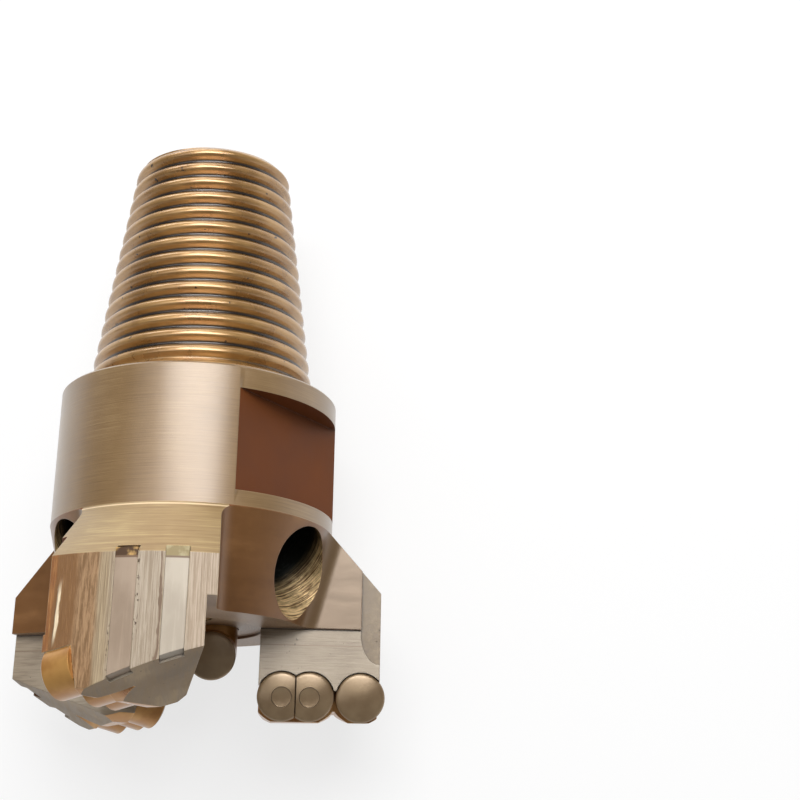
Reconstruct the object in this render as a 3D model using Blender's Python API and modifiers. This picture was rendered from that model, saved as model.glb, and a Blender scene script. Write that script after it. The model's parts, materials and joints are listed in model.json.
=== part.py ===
"""Three-winged drill bit with a tapered threaded pin, lying on its side as it comes to rest.

The bit is laid out in its own frame first: the axis is Z, the crown points to +Z, and height 0 is
the ring where the round shank ends. The first wing's zero line is the X axis, and the bit cuts by
turning from +X towards +Y. At the end every piece is turned onto its side: the crown towards -Y,
one wing up, resting on two wings and on the shank's rim.
"""
import bpy
import bmesh
from math import acos, asin, atan, atan2, cos, degrees, pi, radians, sin, sqrt, tan
from mathutils import Matrix, Vector

# clearance kept between every two pieces, the distance at which stray points merge, and the one at
# which a turned form's rows close up
GAP = 0.0003
MERGE = 0.000002
SEAM = 0.00001

# how far a cutting tool runs past what it cuts: a little, out past the gauge, and past everything
OVERCUT = 0.0040
OUTREACH = 0.0135
BEYOND = 0.0700

# threaded pin, measured down from the shank's shoulder to the tip
PIN_LEN = 0.0737
PIN_BASE_R = 0.0330
PIN_TIP_R = 0.0230
PIN_TIP_CHAMFER = 0.0014
PIN_SINK = 0.0010
THREAD_PITCH = 0.0050
THREAD_DEPTH = 0.0021
THREAD_FADE = 0.0050
THREAD_STEPS = 30
THREAD_FORM = ((0.00, 0.25), (0.22, 0.0), (0.44, 0.25), (0.72, 1.0))

# shank with two wrench flats
SHANK_LEN = 0.0394
SHANK_R = 0.0397
SHANK_CHAMFER = 0.0006
ROUND_STEPS = 72
FLAT_HALF_ANGLE = 35.0
FLAT_AZ = 36.0
FLAT_PIN_MARGIN = 0.0064
FLAT_RING_MARGIN = 0.0047

# body under the crown: a flare out to the gauge, and the crown's flat face
FLARE_DROP = 0.0005
FLARE_LEN = 0.0163
GAUGE_R = 0.0541
CROWN_H = 0.0263
DISC_R = 0.0210
DISC_DEPTH = 0.0008
DISC_STEPS = 56

# three wings, and the junk slots between them
WINGS = 3
LEAD_S = 0.00725
TRAIL_AZ = -41.3
TRAIL_LEAN = -33.4
SLOT_FACE_R = 0.0330
SLOT_LEAD_FILLET = 0.0060
SLOT_TRAIL_FILLET = 0.0055
SLOT_RUN_LOW = 0.0012
SLOT_RUN_HIGH = 0.0015
SLOT_ARC_STEPS = 9
FILLET_STEPS = 6

# blade on each wing, above the crown's face
BLADE_LEAD_STEP = 0.00105
BLADE_INNER_RHO = 0.0206
BLADE_HEEL_S = -0.0094
BLADE_TOE_RHO = 0.0230
BLADE_TOE_S = -0.0165
BLADE_TRAIL_AZ = -38.6
BLADE_SINK = 0.0012
BLADE_TOP = 0.0243
TOP_FALL = 0.437
TOP_INWARD = 0.074
TOP_AT_ORIGIN = 0.03036

# cutters: the row of three on each wing, leaning back
CUTTER_R = 0.00672
CUTTER_LEN = 0.0080
CUTTER_RAKE = 12.0
CUTTER_OUT_RHO = 0.0487
CUTTER_MID_STEP = 0.01405
CUTTER_IN_STEP = 0.00765
CUTTER_H = 0.0185
CUTTER_S = 0.0044
CUTTER_DOME = 0.0013
CUTTER_RIM = 0.0003
CUTTER_STEPS = 24
DOME_SHARES = (0.8, 0.55)
DOME_CENTRE = 0.2
DIMPLE_R = 0.0022
DIMPLE_DEPTH = 0.0003
DIMPLE_FLOOR = 0.85
FRONT_ROOM = 0.0120

# grooves in the blade's top, beside the humps behind the cutters
GROOVE_FLOOR = 0.0028
GROOVE_HALF_W = 0.00035
GROOVE_BACK_S = -0.0300
HUMP_POWER = 1.37
HUMP_FLAT = 0.4
HUMP_STEPS = 5
FIN_DROP = 0.0020
BED_STEPS = 10

# two stud cutters in the middle of the crown
STUD_RAKE = 17.0
STUD_REACH = 0.0074
STUD_FACE_H = 0.0079
STUD_SINK = 0.0060
STUD_A = (0.0073, 0.0044, 90.0)
STUD_B = (-0.0115, -0.0012, -66.0)

# carbide bars let into each gauge pad
BAR_AZ = (-30.4, -16.9)
BAR_START_H = (0.0144, 0.0158)
BAR_W = 0.0058
BAR_DEEP = 0.0030
BAR_SHORT = 0.0014

# shallow step ground into each wing's leading gauge corner
CORNER_RHO = 0.0484
CORNER_DEEP = 0.00165
CORNER_BEND_H = 0.0270
CORNER_TOP_RHO = 0.0533
CORNER_TOP_H = 0.0357
CORNER_STEPS = 5

# waterways
BORE_R = 0.0127
BORE_END_H = 0.0020
BORE_TIP = 0.0040
PORT_R = 0.0112
PORT_AZ = 30.4
PORT_H = 0.0132
PORT_ANGLE = 46.0
PORT_RUN_IN = 0.0400
PORT_RUN_OUT = 0.0300
NOZZLE_R = 0.0058
NOZZLE_AT = ((0.0131, -128.0), (0.0140, 83.0))
NOZZLE_END_H = -0.0060
BORE_STEPS = 40
HOLE_STEPS = 28

# edges sharper than this stay crisp in the shading
CREASE = 35.0

PART = "three_wing_drill_bit"


def clear_scene():
    for ob in list(bpy.data.objects):
        bpy.data.objects.remove(ob, do_unlink=True)
    for mesh in list(bpy.data.meshes):
        bpy.data.meshes.remove(mesh)


def make_collection(name):
    coll = bpy.data.collections.new(name)
    bpy.context.scene.collection.children.link(coll)
    return coll


def make_material(name, colour, rough, metal):
    mat = bpy.data.materials.new(name)
    mat.use_nodes = True
    shader = mat.node_tree.nodes["Principled BSDF"]
    shader.inputs["Base Color"].default_value = (*colour, 1.0)
    shader.inputs["Roughness"].default_value = rough
    shader.inputs["Metallic"].default_value = metal
    return mat


def mesh_object(name, bm, coll):
    """An object from a bmesh, with its stray points merged and all its faces turned outward."""
    bmesh.ops.remove_doubles(bm, verts=bm.verts, dist=MERGE)
    bmesh.ops.dissolve_degenerate(bm, edges=bm.edges, dist=MERGE)
    bmesh.ops.recalc_face_normals(bm, faces=bm.faces)
    mesh = bpy.data.meshes.new(name)
    bm.to_mesh(mesh)
    bm.free()
    ob = bpy.data.objects.new(name, mesh)
    coll.objects.link(ob)
    return ob


def hide_tool(ob):
    ob.hide_render = True
    ob.display_type = "WIRE"
    return ob


def cut(target, tool, operation="DIFFERENCE"):
    mod = target.modifiers.new(tool.name, "BOOLEAN")
    mod.solver = "EXACT"
    mod.operation = operation
    mod.object = tool
    return mod


def turn(az_deg):
    return Matrix.Rotation(radians(az_deg), 4, "Z")


def wing_az(k):
    return 360.0 / WINGS * k


def loft(name, sections, coll):
    """A closed solid through sections that all have the same number of points."""
    bm = bmesh.new()
    rings = [[bm.verts.new(p) for p in section] for section in sections]
    n = len(rings[0])
    bm.faces.new(rings[0][::-1])
    bm.faces.new(rings[-1])
    for low, high in zip(rings, rings[1:]):
        for j in range(n):
            bm.faces.new((low[j], low[(j + 1) % n], high[(j + 1) % n], high[j]))
    return mesh_object(name, bm, coll)


def prism(name, outline, low, high, coll):
    """An outline in the XY plane, drawn at one height and extruded to another."""
    bm = bmesh.new()
    face = bm.faces.new([bm.verts.new((x, y, low)) for x, y in outline])
    raised = bmesh.ops.extrude_face_region(bm, geom=[face])["geom"]
    top = [v for v in raised if isinstance(v, bmesh.types.BMVert)]
    bmesh.ops.translate(bm, verts=top, vec=(0.0, 0.0, high - low))
    return mesh_object(name, bm, coll)


def box(name, size, centre, coll):
    bm = bmesh.new()
    place = Matrix.Translation(centre) @ Matrix.Diagonal((*size, 1.0))
    bmesh.ops.create_cube(bm, size=1.0, matrix=place)
    return mesh_object(name, bm, coll)


def rod(name, radius, start, end, steps, coll):
    """A round bar between two points."""
    start = Vector(start)
    axis = Vector(end) - start
    frame = axis.to_track_quat("Z", "Y").to_matrix().to_4x4()
    place = Matrix.Translation(start + axis / 2) @ frame
    bm = bmesh.new()
    bmesh.ops.create_cone(bm, cap_ends=True, segments=steps, radius1=radius, radius2=radius,
                          depth=axis.length, matrix=place)
    return mesh_object(name, bm, coll)


def screw_object(name, profile, steps, coll):
    """A turned solid: a half profile at +X, from top to bottom, spun once round Z."""
    mesh = bpy.data.meshes.new(name)
    mesh.from_pydata([(r, 0.0, z) for r, z in profile], [(i, i + 1) for i in range(len(profile) - 1)], [])
    ob = bpy.data.objects.new(name, mesh)
    coll.objects.link(ob)
    mod = ob.modifiers.new("turned", "SCREW")
    mod.axis = "Z"
    mod.angle = 2 * pi
    mod.steps = steps
    mod.render_steps = steps
    mod.use_merge_vertices = True
    mod.merge_threshold = SEAM
    mod.use_smooth_shade = False
    return ob


def thread_depth_at(turns):
    """How deep the thread is cut, from 0 to 1, at a place in its pitch."""
    place = turns % 1.0
    form = list(THREAD_FORM) + [(THREAD_FORM[0][0] + 1.0, THREAD_FORM[0][1])]
    for (p0, d0), (p1, d1) in zip(form, form[1:]):
        if p0 <= place <= p1:
            return d0 + (d1 - d0) * (place - p0) / (p1 - p0)
    return form[0][1]


def pin_radius(z, turns):
    tip = -SHANK_LEN - PIN_LEN
    up = z - tip
    taper = PIN_TIP_R + (PIN_BASE_R - PIN_TIP_R) * min(up / PIN_LEN, 1.0)
    plain = min(max((PIN_LEN - up) / THREAD_FADE, 0.0), 1.0)
    cut_deep = THREAD_DEPTH * thread_depth_at(turns) * plain
    return min(taper - cut_deep, PIN_TIP_R - PIN_TIP_CHAMFER + up)


def make_pin(coll):
    """The tapered pin with its helical thread, as rows that climb one pitch for each turn."""
    tip = -SHANK_LEN - PIN_LEN
    base = -SHANK_LEN + PIN_SINK
    rows = len(THREAD_FORM)
    turns = int((base - tip) / THREAD_PITCH) + 2
    verts = []
    for t in range(-1, turns):
        for place, _deep in THREAD_FORM:
            for j in range(THREAD_STEPS + 1):
                z = tip + THREAD_PITCH * (t + place + j / THREAD_STEPS)
                z = min(max(z, tip), base)
                r = pin_radius(z, (z - tip) / THREAD_PITCH - j / THREAD_STEPS)
                a = 2 * pi * j / THREAD_STEPS
                verts.append((r * cos(a), r * sin(a), z))
    return close_pin(verts, tip, base, coll)


def close_pin(points, tip, base, coll):
    """Joins the rows into one skin, drops what is squashed flat at the two ends, and caps them."""
    cols = THREAD_STEPS + 1
    bm = bmesh.new()
    verts = [bm.verts.new(p) for p in points]
    for m in range(len(points) // cols - 1):
        for j in range(THREAD_STEPS):
            a = m * cols + j
            bm.faces.new((verts[a], verts[a + 1], verts[a + 1 + cols], verts[a + cols]))
    bmesh.ops.remove_doubles(bm, verts=bm.verts, dist=MERGE)
    bmesh.ops.dissolve_degenerate(bm, edges=bm.edges, dist=MERGE)
    ends = [f for f in bm.faces if max(v.co.z for v in f.verts) < tip + MERGE]
    ends += [f for f in bm.faces if min(v.co.z for v in f.verts) > base - MERGE]
    bmesh.ops.delete(bm, geom=ends, context="FACES")
    bmesh.ops.holes_fill(bm, edges=[e for e in bm.edges if e.is_boundary], sides=0)
    return mesh_object("pin_form", bm, coll)


def body_profile():
    """Half section of the shank, the flare and the wings' block, top to bottom."""
    return [
        (0.0, CROWN_H + BLADE_TOP),
        (GAUGE_R, CROWN_H + BLADE_TOP),
        (GAUGE_R, FLARE_LEN - FLARE_DROP),
        (SHANK_R, -FLARE_DROP),
        (SHANK_R, -SHANK_LEN + SHANK_CHAMFER),
        (SHANK_R - SHANK_CHAMFER, -SHANK_LEN),
        (0.0, -SHANK_LEN),
    ]


def slot_radius(h):
    """Distance of a junk slot's floor from the axis; it meets the shank at the ring."""
    return SHANK_R + (SLOT_FACE_R - SHANK_R) * h / CROWN_H


def arc(centre, radius, a0, a1, steps):
    step = (a1 - a0) / steps
    return [(centre[0] + radius * cos(a0 + step * i), centre[1] + radius * sin(a0 + step * i))
            for i in range(steps + 1)]


def lead_fillet(floor_r):
    """Arc from the leading wall onto the slot's floor."""
    f = SLOT_LEAD_FILLET
    cy = LEAD_S + f
    centre = (sqrt((floor_r + f) ** 2 - cy ** 2), cy)
    return arc(centre, f, -pi / 2, atan2(centre[1], centre[0]) - pi, FILLET_STEPS)


def trail_line():
    """A point on the next wing's trailing wall, and its direction outward."""
    point = Vector((GAUGE_R * cos(radians(TRAIL_AZ)), GAUGE_R * sin(radians(TRAIL_AZ))))
    way = Vector((cos(radians(TRAIL_LEAN)), sin(radians(TRAIL_LEAN))))
    return point, way


def trail_fillet(floor_r):
    """Arc from the slot's floor onto the next wing's trailing wall, in that wing's frame."""
    f = SLOT_TRAIL_FILLET
    point, way = trail_line()
    out = Vector((way.y, -way.x))
    base = point + out * f
    b = base.dot(way)
    c = base.dot(base) - (floor_r + f) ** 2
    centre = base + way * (-b + sqrt(b * b - c))
    a0 = atan2(centre.y, centre.x) + pi
    a1 = atan2(-out.y, -out.x)
    if a1 - a0 > pi:
        a0 += 2 * pi
    if a0 - a1 > pi:
        a1 += 2 * pi
    return arc(centre, f, a0, a1, FILLET_STEPS)


def slot_outline(h):
    """One level of a junk slot, between this wing's leading wall and the next wing's trailing one."""
    floor_r = slot_radius(h)
    far = GAUGE_R + OUTREACH
    first = lead_fillet(floor_r)
    last = [turn(wing_az(1)) @ Vector((x, y, 0.0)) for x, y in trail_fillet(floor_r)]
    last = [(p.x, p.y) for p in last]
    a0 = atan2(first[-1][1], first[-1][0])
    a1 = atan2(last[0][1], last[0][0])
    floor = arc((0.0, 0.0), floor_r, a0, a1, SLOT_ARC_STEPS)[1:-1]
    point, way = trail_line()
    end = turn(wing_az(1)) @ Vector((*(point + way * (far - GAUGE_R)), 0.0))
    mid = Vector((first[-1][0] + last[0][0], first[-1][1] + last[0][1])).normalized() * (far + OUTREACH)
    return [(far, LEAD_S)] + first + floor + last + [(end.x, end.y), (mid.x, mid.y)]


def make_slot(k, coll):
    levels = (-SLOT_RUN_LOW, CROWN_H + SLOT_RUN_HIGH)
    spin = turn(wing_az(k))
    sections = [[tuple(spin @ Vector((x, y, h))) for x, y in slot_outline(h)] for h in levels]
    return hide_tool(loft(f"slot_{k + 1}", sections, coll))


def top_height(rho, s):
    """Height of a blade's sloping top, over the crown's face plane."""
    return CROWN_H + TOP_AT_ORIGIN + TOP_FALL * s - TOP_INWARD * rho


def blade_outline():
    edge = radians(BLADE_TRAIL_AZ)
    heel = Vector((BLADE_TOE_RHO, BLADE_TOE_S))
    outer = Vector((GAUGE_R * cos(edge), GAUGE_R * sin(edge)))
    far = outer + (outer - heel).normalized() * OUTREACH
    lead = LEAD_S - BLADE_LEAD_STEP
    return [(BLADE_INNER_RHO, lead), (BLADE_INNER_RHO, BLADE_HEEL_S), tuple(heel), tuple(far),
            (GAUGE_R + OUTREACH, far.y), (GAUGE_R + OUTREACH, lead)]


def cutter_rhos():
    mid = CUTTER_OUT_RHO - CUTTER_MID_STEP
    return {"outer": CUTTER_OUT_RHO, "middle": mid, "inner": mid - CUTTER_IN_STEP}


def cutter_frame(rho, s, h, rake):
    """Frame of a cutter's face: its X points in to the bit's axis, its Y up and its Z out of the face."""
    tilt = radians(rake)
    out = Vector((0.0, cos(tilt), sin(tilt)))
    inward = Vector((-1.0, 0.0, 0.0))
    up = out.cross(inward)
    rot = Matrix((inward, up, out)).transposed().to_4x4()
    return Matrix.Translation((rho, s, h)) @ rot


def hump_side(centre, sign):
    """One side of a hump behind a cutter, from its top down to the floor of the groove: a soft V."""
    lift = CROWN_H + CUTTER_H + GROOVE_FLOOR
    reach = CUTTER_MID_STEP / 2 - GROOVE_HALF_W
    points = []
    for i in range(HUMP_STEPS + 1):
        share = HUMP_FLAT + (1.0 - HUMP_FLAT) * i / HUMP_STEPS
        rise = (1.0 - share ** HUMP_POWER) ** (1.0 / HUMP_POWER)
        points.append((centre + sign * reach * share, lift + (CUTTER_R - GROOVE_FLOOR) * rise))
    return points


def groove_section(low, high, top):
    """Cross-section of the groove between the humps behind two cutters."""
    left = hump_side(low, 1.0)
    right = hump_side(high, -1.0)[::-1]
    return [(left[0][0], top)] + left + right + [(right[-1][0], top)]


def extrude_along_wing(name, section, s0, s1, coll):
    """A section in the reach and height plane, run along the wing's thickness."""
    return hide_tool(loft(name, [[(r, s, h) for r, h in section] for s in (s0, s1)], coll))


def shoulder_section(rho, sign, far, top):
    """The waste beside the first or last hump of a row."""
    side = hump_side(rho, sign)
    return [(side[0][0], top)] + side + [(rho + sign * far, side[-1][1]), (rho + sign * far, top)]


def groove_tools(coll):
    rho = cutter_rhos()
    top = CROWN_H + BLADE_TOP + OVERCUT
    reach = CUTTER_R + OVERCUT
    sections = [
        groove_section(rho["middle"], rho["outer"], top),
        shoulder_section(rho["outer"], 1.0, reach, top),
        shoulder_section(rho["inner"], -1.0, reach, top),
    ]
    return [extrude_along_wing(f"groove_{i + 1}", section, GROOVE_BACK_S, FRONT_ROOM, coll)
            for i, section in enumerate(sections)]


def bed_outline():
    """The waste over and round a wing's cutters, seen on their faces: three round beds side by side."""
    rho = cutter_rhos()
    r = CUTTER_R + GAP
    meet = acos(CUTTER_IN_STEP / 2 / r)
    fin = asin(FIN_DROP / r)
    x0 = BLADE_INNER_RHO - OVERCUT
    x1 = GAUGE_R + OUTREACH
    high = 2 * CUTTER_R
    inner = arc((rho["inner"], 0.0), r, -pi, -meet, BED_STEPS)
    middle = arc((rho["middle"], 0.0), r, meet - pi, -fin, BED_STEPS)
    outer = arc((rho["outer"], 0.0), r, fin - pi, 0.0, BED_STEPS)
    beds = [(x0, 0.0)] + inner + middle[1:] + outer + [(x1, 0.0), (x1, high), (x0, high)]
    return [(-x, y) for x, y in beds]


def bed_tool(coll):
    """Clears the cutters' beds, and what is above the plane of their axes."""
    ob = prism("cutter_beds", bed_outline(), -(CUTTER_LEN + GAP), FRONT_ROOM, coll)
    ob.matrix_world = cutter_frame(0.0, CUTTER_S, CROWN_H + CUTTER_H, CUTTER_RAKE)
    return hide_tool(ob)


def top_plane_tool(name, drop, coll):
    """Everything above the blade's sloping top, or above a plane a little under it."""
    corners = [(0.0, -BEYOND), (BEYOND, -BEYOND), (BEYOND, BEYOND), (0.0, BEYOND)]
    low = [(x, y, top_height(x, y) - drop) for x, y in corners]
    high = [(x, y, top_height(0.0, 0.0) + BEYOND) for x, y in corners]
    return hide_tool(loft(name, [low, high], coll))


def make_blade(coll):
    """One wing's blade, cut to shape in the first wing's place, and still too long at the gauge."""
    low = CROWN_H - BLADE_SINK
    high = CROWN_H + BLADE_TOP + BLADE_SINK
    blade = prism("blade_form", blade_outline(), low, high, coll)
    cut(blade, top_plane_tool("top_plane", 0.0, coll))
    for tool in groove_tools(coll):
        cut(blade, tool)
    cut(blade, bed_tool(coll))
    return hide_tool(blade)


def bake(ob):
    """The shaped mesh of an object, with its modifiers worked in."""
    bpy.context.view_layer.update()
    shaped = ob.evaluated_get(bpy.context.evaluated_depsgraph_get())
    return bpy.data.meshes.new_from_object(shaped)


def wing_copy(name, mesh, k, coll):
    ob = bpy.data.objects.new(name, mesh)
    ob.matrix_world = turn(wing_az(k))
    coll.objects.link(ob)
    return hide_tool(ob)


def flat_tool(name, az, coll):
    """The waste of one wrench flat."""
    depth = SHANK_R * (1 - cos(radians(FLAT_HALF_ANGLE)))
    low = -SHANK_LEN + FLAT_PIN_MARGIN
    high = -FLAT_RING_MARGIN
    size = (depth + OVERCUT, 2 * (SHANK_R + OVERCUT), high - low)
    ob = box(name, size, (SHANK_R - depth + size[0] / 2, 0.0, (low + high) / 2), coll)
    ob.matrix_world = turn(az)
    return hide_tool(ob)


def port_line(k):
    """Where a port leaves its slot's floor, and its way outward."""
    az = radians(PORT_AZ + wing_az(k))
    way = radians(PORT_ANGLE)
    r = slot_radius(PORT_H)
    point = Vector((r * cos(az), r * sin(az), PORT_H))
    out = Vector((sin(way) * cos(az), sin(way) * sin(az), cos(way)))
    return point, out


def port_tool(k, coll):
    point, out = port_line(k)
    start = point - out * PORT_RUN_IN
    end = point + out * PORT_RUN_OUT
    return hide_tool(rod(f"port_{k + 1}", PORT_R, start, end, HOLE_STEPS, coll))


def bore_tool(coll):
    mouth = -SHANK_LEN - PIN_LEN - OVERCUT
    profile = [(0.0, BORE_END_H + BORE_TIP), (BORE_R, BORE_END_H), (BORE_R, mouth), (0.0, mouth)]
    return hide_tool(screw_object("bore", profile, BORE_STEPS, coll))


def nozzle_tool(i, coll):
    r, az = NOZZLE_AT[i]
    x = r * cos(radians(az))
    y = r * sin(radians(az))
    start = (x, y, NOZZLE_END_H)
    end = (x, y, CROWN_H + OVERCUT)
    return hide_tool(rod(f"nozzle_{i + 1}", NOZZLE_R, start, end, HOLE_STEPS, coll))


def bar_box(name, az, grow, low, high, coll):
    """A bar let into the gauge pad, or its slot when it is grown by the clearance."""
    outer = GAUGE_R + OVERCUT
    inner = GAUGE_R - BAR_DEEP - grow
    size = (outer - inner, BAR_W + 2 * grow, high - low)
    ob = box(name, size, ((outer + inner) / 2, 0.0, (low + high) / 2), coll)
    ob.matrix_world = turn(az)
    return ob


def corner_tool(k, coll):
    """The step in a wing's leading gauge corner."""
    far = GAUGE_R + OUTREACH
    section = [(CORNER_RHO, 0.0), (CORNER_RHO, CORNER_BEND_H)]
    for i in range(1, CORNER_STEPS + 1):
        a = pi / 2 * i / CORNER_STEPS
        section.append((CORNER_RHO + (CORNER_TOP_RHO - CORNER_RHO) * (1 - cos(a)),
                        CORNER_BEND_H + (CORNER_TOP_H - CORNER_BEND_H) * sin(a)))
    section += [(far, CORNER_TOP_H), (far, 0.0)]
    ob = extrude_along_wing(f"corner_{k + 1}", section, LEAD_S - CORNER_DEEP, LEAD_S + OVERCUT, coll)
    ob.matrix_world = turn(wing_az(k))
    return ob


def stud_sections(place, grow):
    """Sections of a bent stud: from its foot up to the mitre of its two ways, and out to its face."""
    x, y, az = place
    r = CUTTER_R + grow
    rake = radians(STUD_RAKE)
    face = Vector((0.0, 0.0, CROWN_H + STUD_FACE_H))
    out = Vector((cos(rake), 0.0, sin(rake)))
    knee = Vector((-STUD_REACH, 0.0, face.z - STUD_REACH * tan(rake)))
    foot = knee.z - (CROWN_H - DISC_DEPTH - STUD_SINK - grow)
    spin = Matrix.Translation((x, y, 0.0)) @ turn(az)
    side = Vector((0.0, 1.0, 0.0))
    up_post = Vector((-1.0, 0.0, 0.0))
    up_face = out.cross(side)
    mitre = (out + Vector((0.0, 0.0, 1.0))).normalized()
    rings = [[], [], []]
    for i in range(CUTTER_STEPS):
        a = 2 * pi * i / CUTTER_STEPS
        post = side * (r * cos(a)) + up_post * (r * sin(a))
        rings[0].append(spin @ (knee + post - Vector((0.0, 0.0, foot))))
        lift = -post.dot(mitre) / mitre.z
        rings[1].append(spin @ (knee + post + Vector((0.0, 0.0, lift))))
        rings[2].append(spin @ (face + side * (r * cos(a)) + up_face * (r * sin(a))))
    return rings, spin, face, out


def make_stud(name, place, coll):
    rings, spin, face, out = stud_sections(place, 0.0)
    centre = spin @ face
    axis = (spin.to_3x3() @ out).normalized()
    sections = list(rings)
    for scale, lift in face_rings(False):
        sections.append([centre + (p - centre) * scale + axis * lift for p in rings[2]])
    return loft(name, sections, coll)


def face_rings(dimple):
    """Rings of a cutter's face, from its rim inward: share of the radius, and height."""
    rings = [(1.0 - CUTTER_RIM / CUTTER_R, CUTTER_RIM)]
    for share in DOME_SHARES:
        rings.append((share, CUTTER_RIM + (CUTTER_DOME - CUTTER_RIM) * (1 - share ** 2)))
    if dimple:
        edge = DIMPLE_R / CUTTER_R
        top = CUTTER_RIM + (CUTTER_DOME - CUTTER_RIM) * (1 - edge ** 2)
        rings += [(edge, top), (edge * DIMPLE_FLOOR, top - DIMPLE_DEPTH)]
    else:
        rings.append((DOME_CENTRE, CUTTER_DOME))
    return rings


def make_cutter(name, rho, k, dimple, trim, coll, tools):
    """A cutter: a short turned carbide bar with a domed face, trimmed where it meets its neighbour."""
    profile = [(CUTTER_R * share, lift) for share, lift in face_rings(dimple)][::-1]
    profile.insert(0, (0.0, profile[0][1]))
    profile += [(CUTTER_R, 0.0), (CUTTER_R, -CUTTER_LEN), (0.0, -CUTTER_LEN)]
    ob = screw_object(name, profile, CUTTER_STEPS, coll)
    frame = turn(wing_az(k)) @ cutter_frame(rho, CUTTER_S, CROWN_H + CUTTER_H, CUTTER_RAKE)
    ob.matrix_world = frame
    if trim:
        near = CUTTER_IN_STEP / 2 - GAP / 2
        size = (CUTTER_R, 2 * (CUTTER_R + OVERCUT), 2 * (CUTTER_LEN + OVERCUT))
        tool = hide_tool(box(f"trim_{name}", size, (trim * (near + CUTTER_R / 2), 0.0, 0.0), tools))
        tool.matrix_world = frame
        cut(ob, tool)
    return ob


def make_bars(k, coll, tools, slots):
    """The two carbide bars of a wing, flush with its gauge pad and a little short of its sloping top."""
    made = []
    high = CROWN_H + BLADE_TOP
    for letter, rel, low in zip("ab", BAR_AZ, BAR_START_H):
        az = wing_az(k) + rel
        bar = bar_box(f"gauge_bar_{k + 1}{letter}", az, 0.0, low, high, coll)
        cut(bar, bpy.data.objects["bar_round"], "INTERSECT")
        cut(bar, bpy.data.objects[f"bar_top_{k + 1}"])
        slot_low = min(BAR_START_H) - GAP
        slot = bar_box(f"bar_slot_{k + 1}{letter}", az, GAP, slot_low, high + OVERCUT, tools)
        slots.append(hide_tool(slot))
        made.append(bar)
    return made


def bar_envelope(coll):
    """The tools that trim the bars flush with the round gauge and short of the blades' tops."""
    high = CROWN_H + BLADE_TOP + OVERCUT
    profile = [(0.0, high), (GAUGE_R, high), (GAUGE_R, 0.0), (0.0, 0.0)]
    hide_tool(screw_object("bar_round", profile, ROUND_STEPS, coll))
    plane = top_plane_tool("bar_top", BAR_SHORT, coll).data
    for k in range(WINGS):
        wing_copy(f"bar_top_{k + 1}", plane, k, coll)


def disc_tool(coll):
    """The shallow round recess in the crown's face."""
    low = (0, 0, CROWN_H - DISC_DEPTH)
    return hide_tool(rod("disc_recess", DISC_R, low, (0, 0, CROWN_H + DISC_DEPTH), DISC_STEPS, coll))


def make_body(coll, tools):
    blade_mesh = bake(make_blade(tools))
    low = (0, 0, CROWN_H)
    high = (0, 0, CROWN_H + BLADE_TOP + OVERCUT)
    waste = hide_tool(rod("crown_waste", GAUGE_R + OVERCUT, low, high, ROUND_STEPS, tools))
    for k in range(WINGS):
        cut(waste, wing_copy(f"blade_{k + 1}", blade_mesh, k, tools))
    bar_envelope(tools)
    body = screw_object("bit_body", body_profile(), ROUND_STEPS, coll)
    cut(body, waste)
    for k in range(WINGS):
        cut(body, make_slot(k, tools))
    cut(body, disc_tool(tools))
    cut(body, hide_tool(make_pin(tools)), "UNION")
    for i in range(2):
        cut(body, flat_tool(f"wrench_flat_{i + 1}", FLAT_AZ + 180.0 * i, tools))
    cut(body, bore_tool(tools))
    for k in range(WINGS):
        cut(body, port_tool(k, tools))
        cut(body, corner_tool(k, tools))
    for i in range(len(NOZZLE_AT)):
        cut(body, nozzle_tool(i, tools))
    for i, place in enumerate((STUD_A, STUD_B)):
        foot = stud_sections(place, GAP)[0][0]
        rim = [(p.x, p.y, CROWN_H + OVERCUT) for p in foot]
        cut(body, hide_tool(loft(f"stud_hole_{i + 1}", [foot, rim], tools)))
    return body


def resting_pose():
    """Turns the bit's own frame onto its side: it rests on two wings and on the shank's rim."""
    lead = degrees(asin((LEAD_S - CORNER_DEEP) / GAUGE_R))
    up_az = radians(wing_az(1) + (lead + TRAIL_AZ) / 2)
    half_gap = radians((360.0 / WINGS - (lead - TRAIL_AZ)) / 2)
    pad_drop = GAUGE_R * cos(half_gap)
    tilt = atan((pad_drop - SHANK_R) / (SHANK_LEN - SHANK_CHAMFER + FLARE_LEN - FLARE_DROP))
    lay = Matrix(((sin(up_az), -cos(up_az), 0.0), (0.0, 0.0, -1.0), (cos(up_az), sin(up_az), 0.0)))
    return Matrix.Rotation(-tilt, 4, "X") @ lay.to_4x4()


def settle(ob, material):
    """Works an object's modifiers into its mesh, and shades it smooth up to its crisp edges."""
    mesh = bake(ob)
    ob.modifiers.clear()
    ob.data = mesh
    mesh.materials.clear()
    mesh.materials.append(material)
    mesh.shade_smooth()
    mesh.set_sharp_from_angle(angle=radians(CREASE))


def lowest_and_middle(nodes):
    """The middle of the floor under the pieces, at the height of their lowest point."""
    points = [ob.matrix_world @ v.co for ob in nodes for v in ob.data.vertices]
    lo = [min(p[i] for p in points) for i in range(3)]
    hi = [max(p[i] for p in points) for i in range(3)]
    return Vector(((lo[0] + hi[0]) / 2, (lo[1] + hi[1]) / 2, lo[2]))


def lay_down(nodes):
    pose = resting_pose()
    for ob in bpy.data.objects:
        ob.matrix_world = pose @ ob.matrix_world
    bpy.context.view_layer.update()
    shift = Matrix.Translation(-lowest_and_middle(nodes))
    for ob in bpy.data.objects:
        ob.matrix_world = shift @ ob.matrix_world


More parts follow.
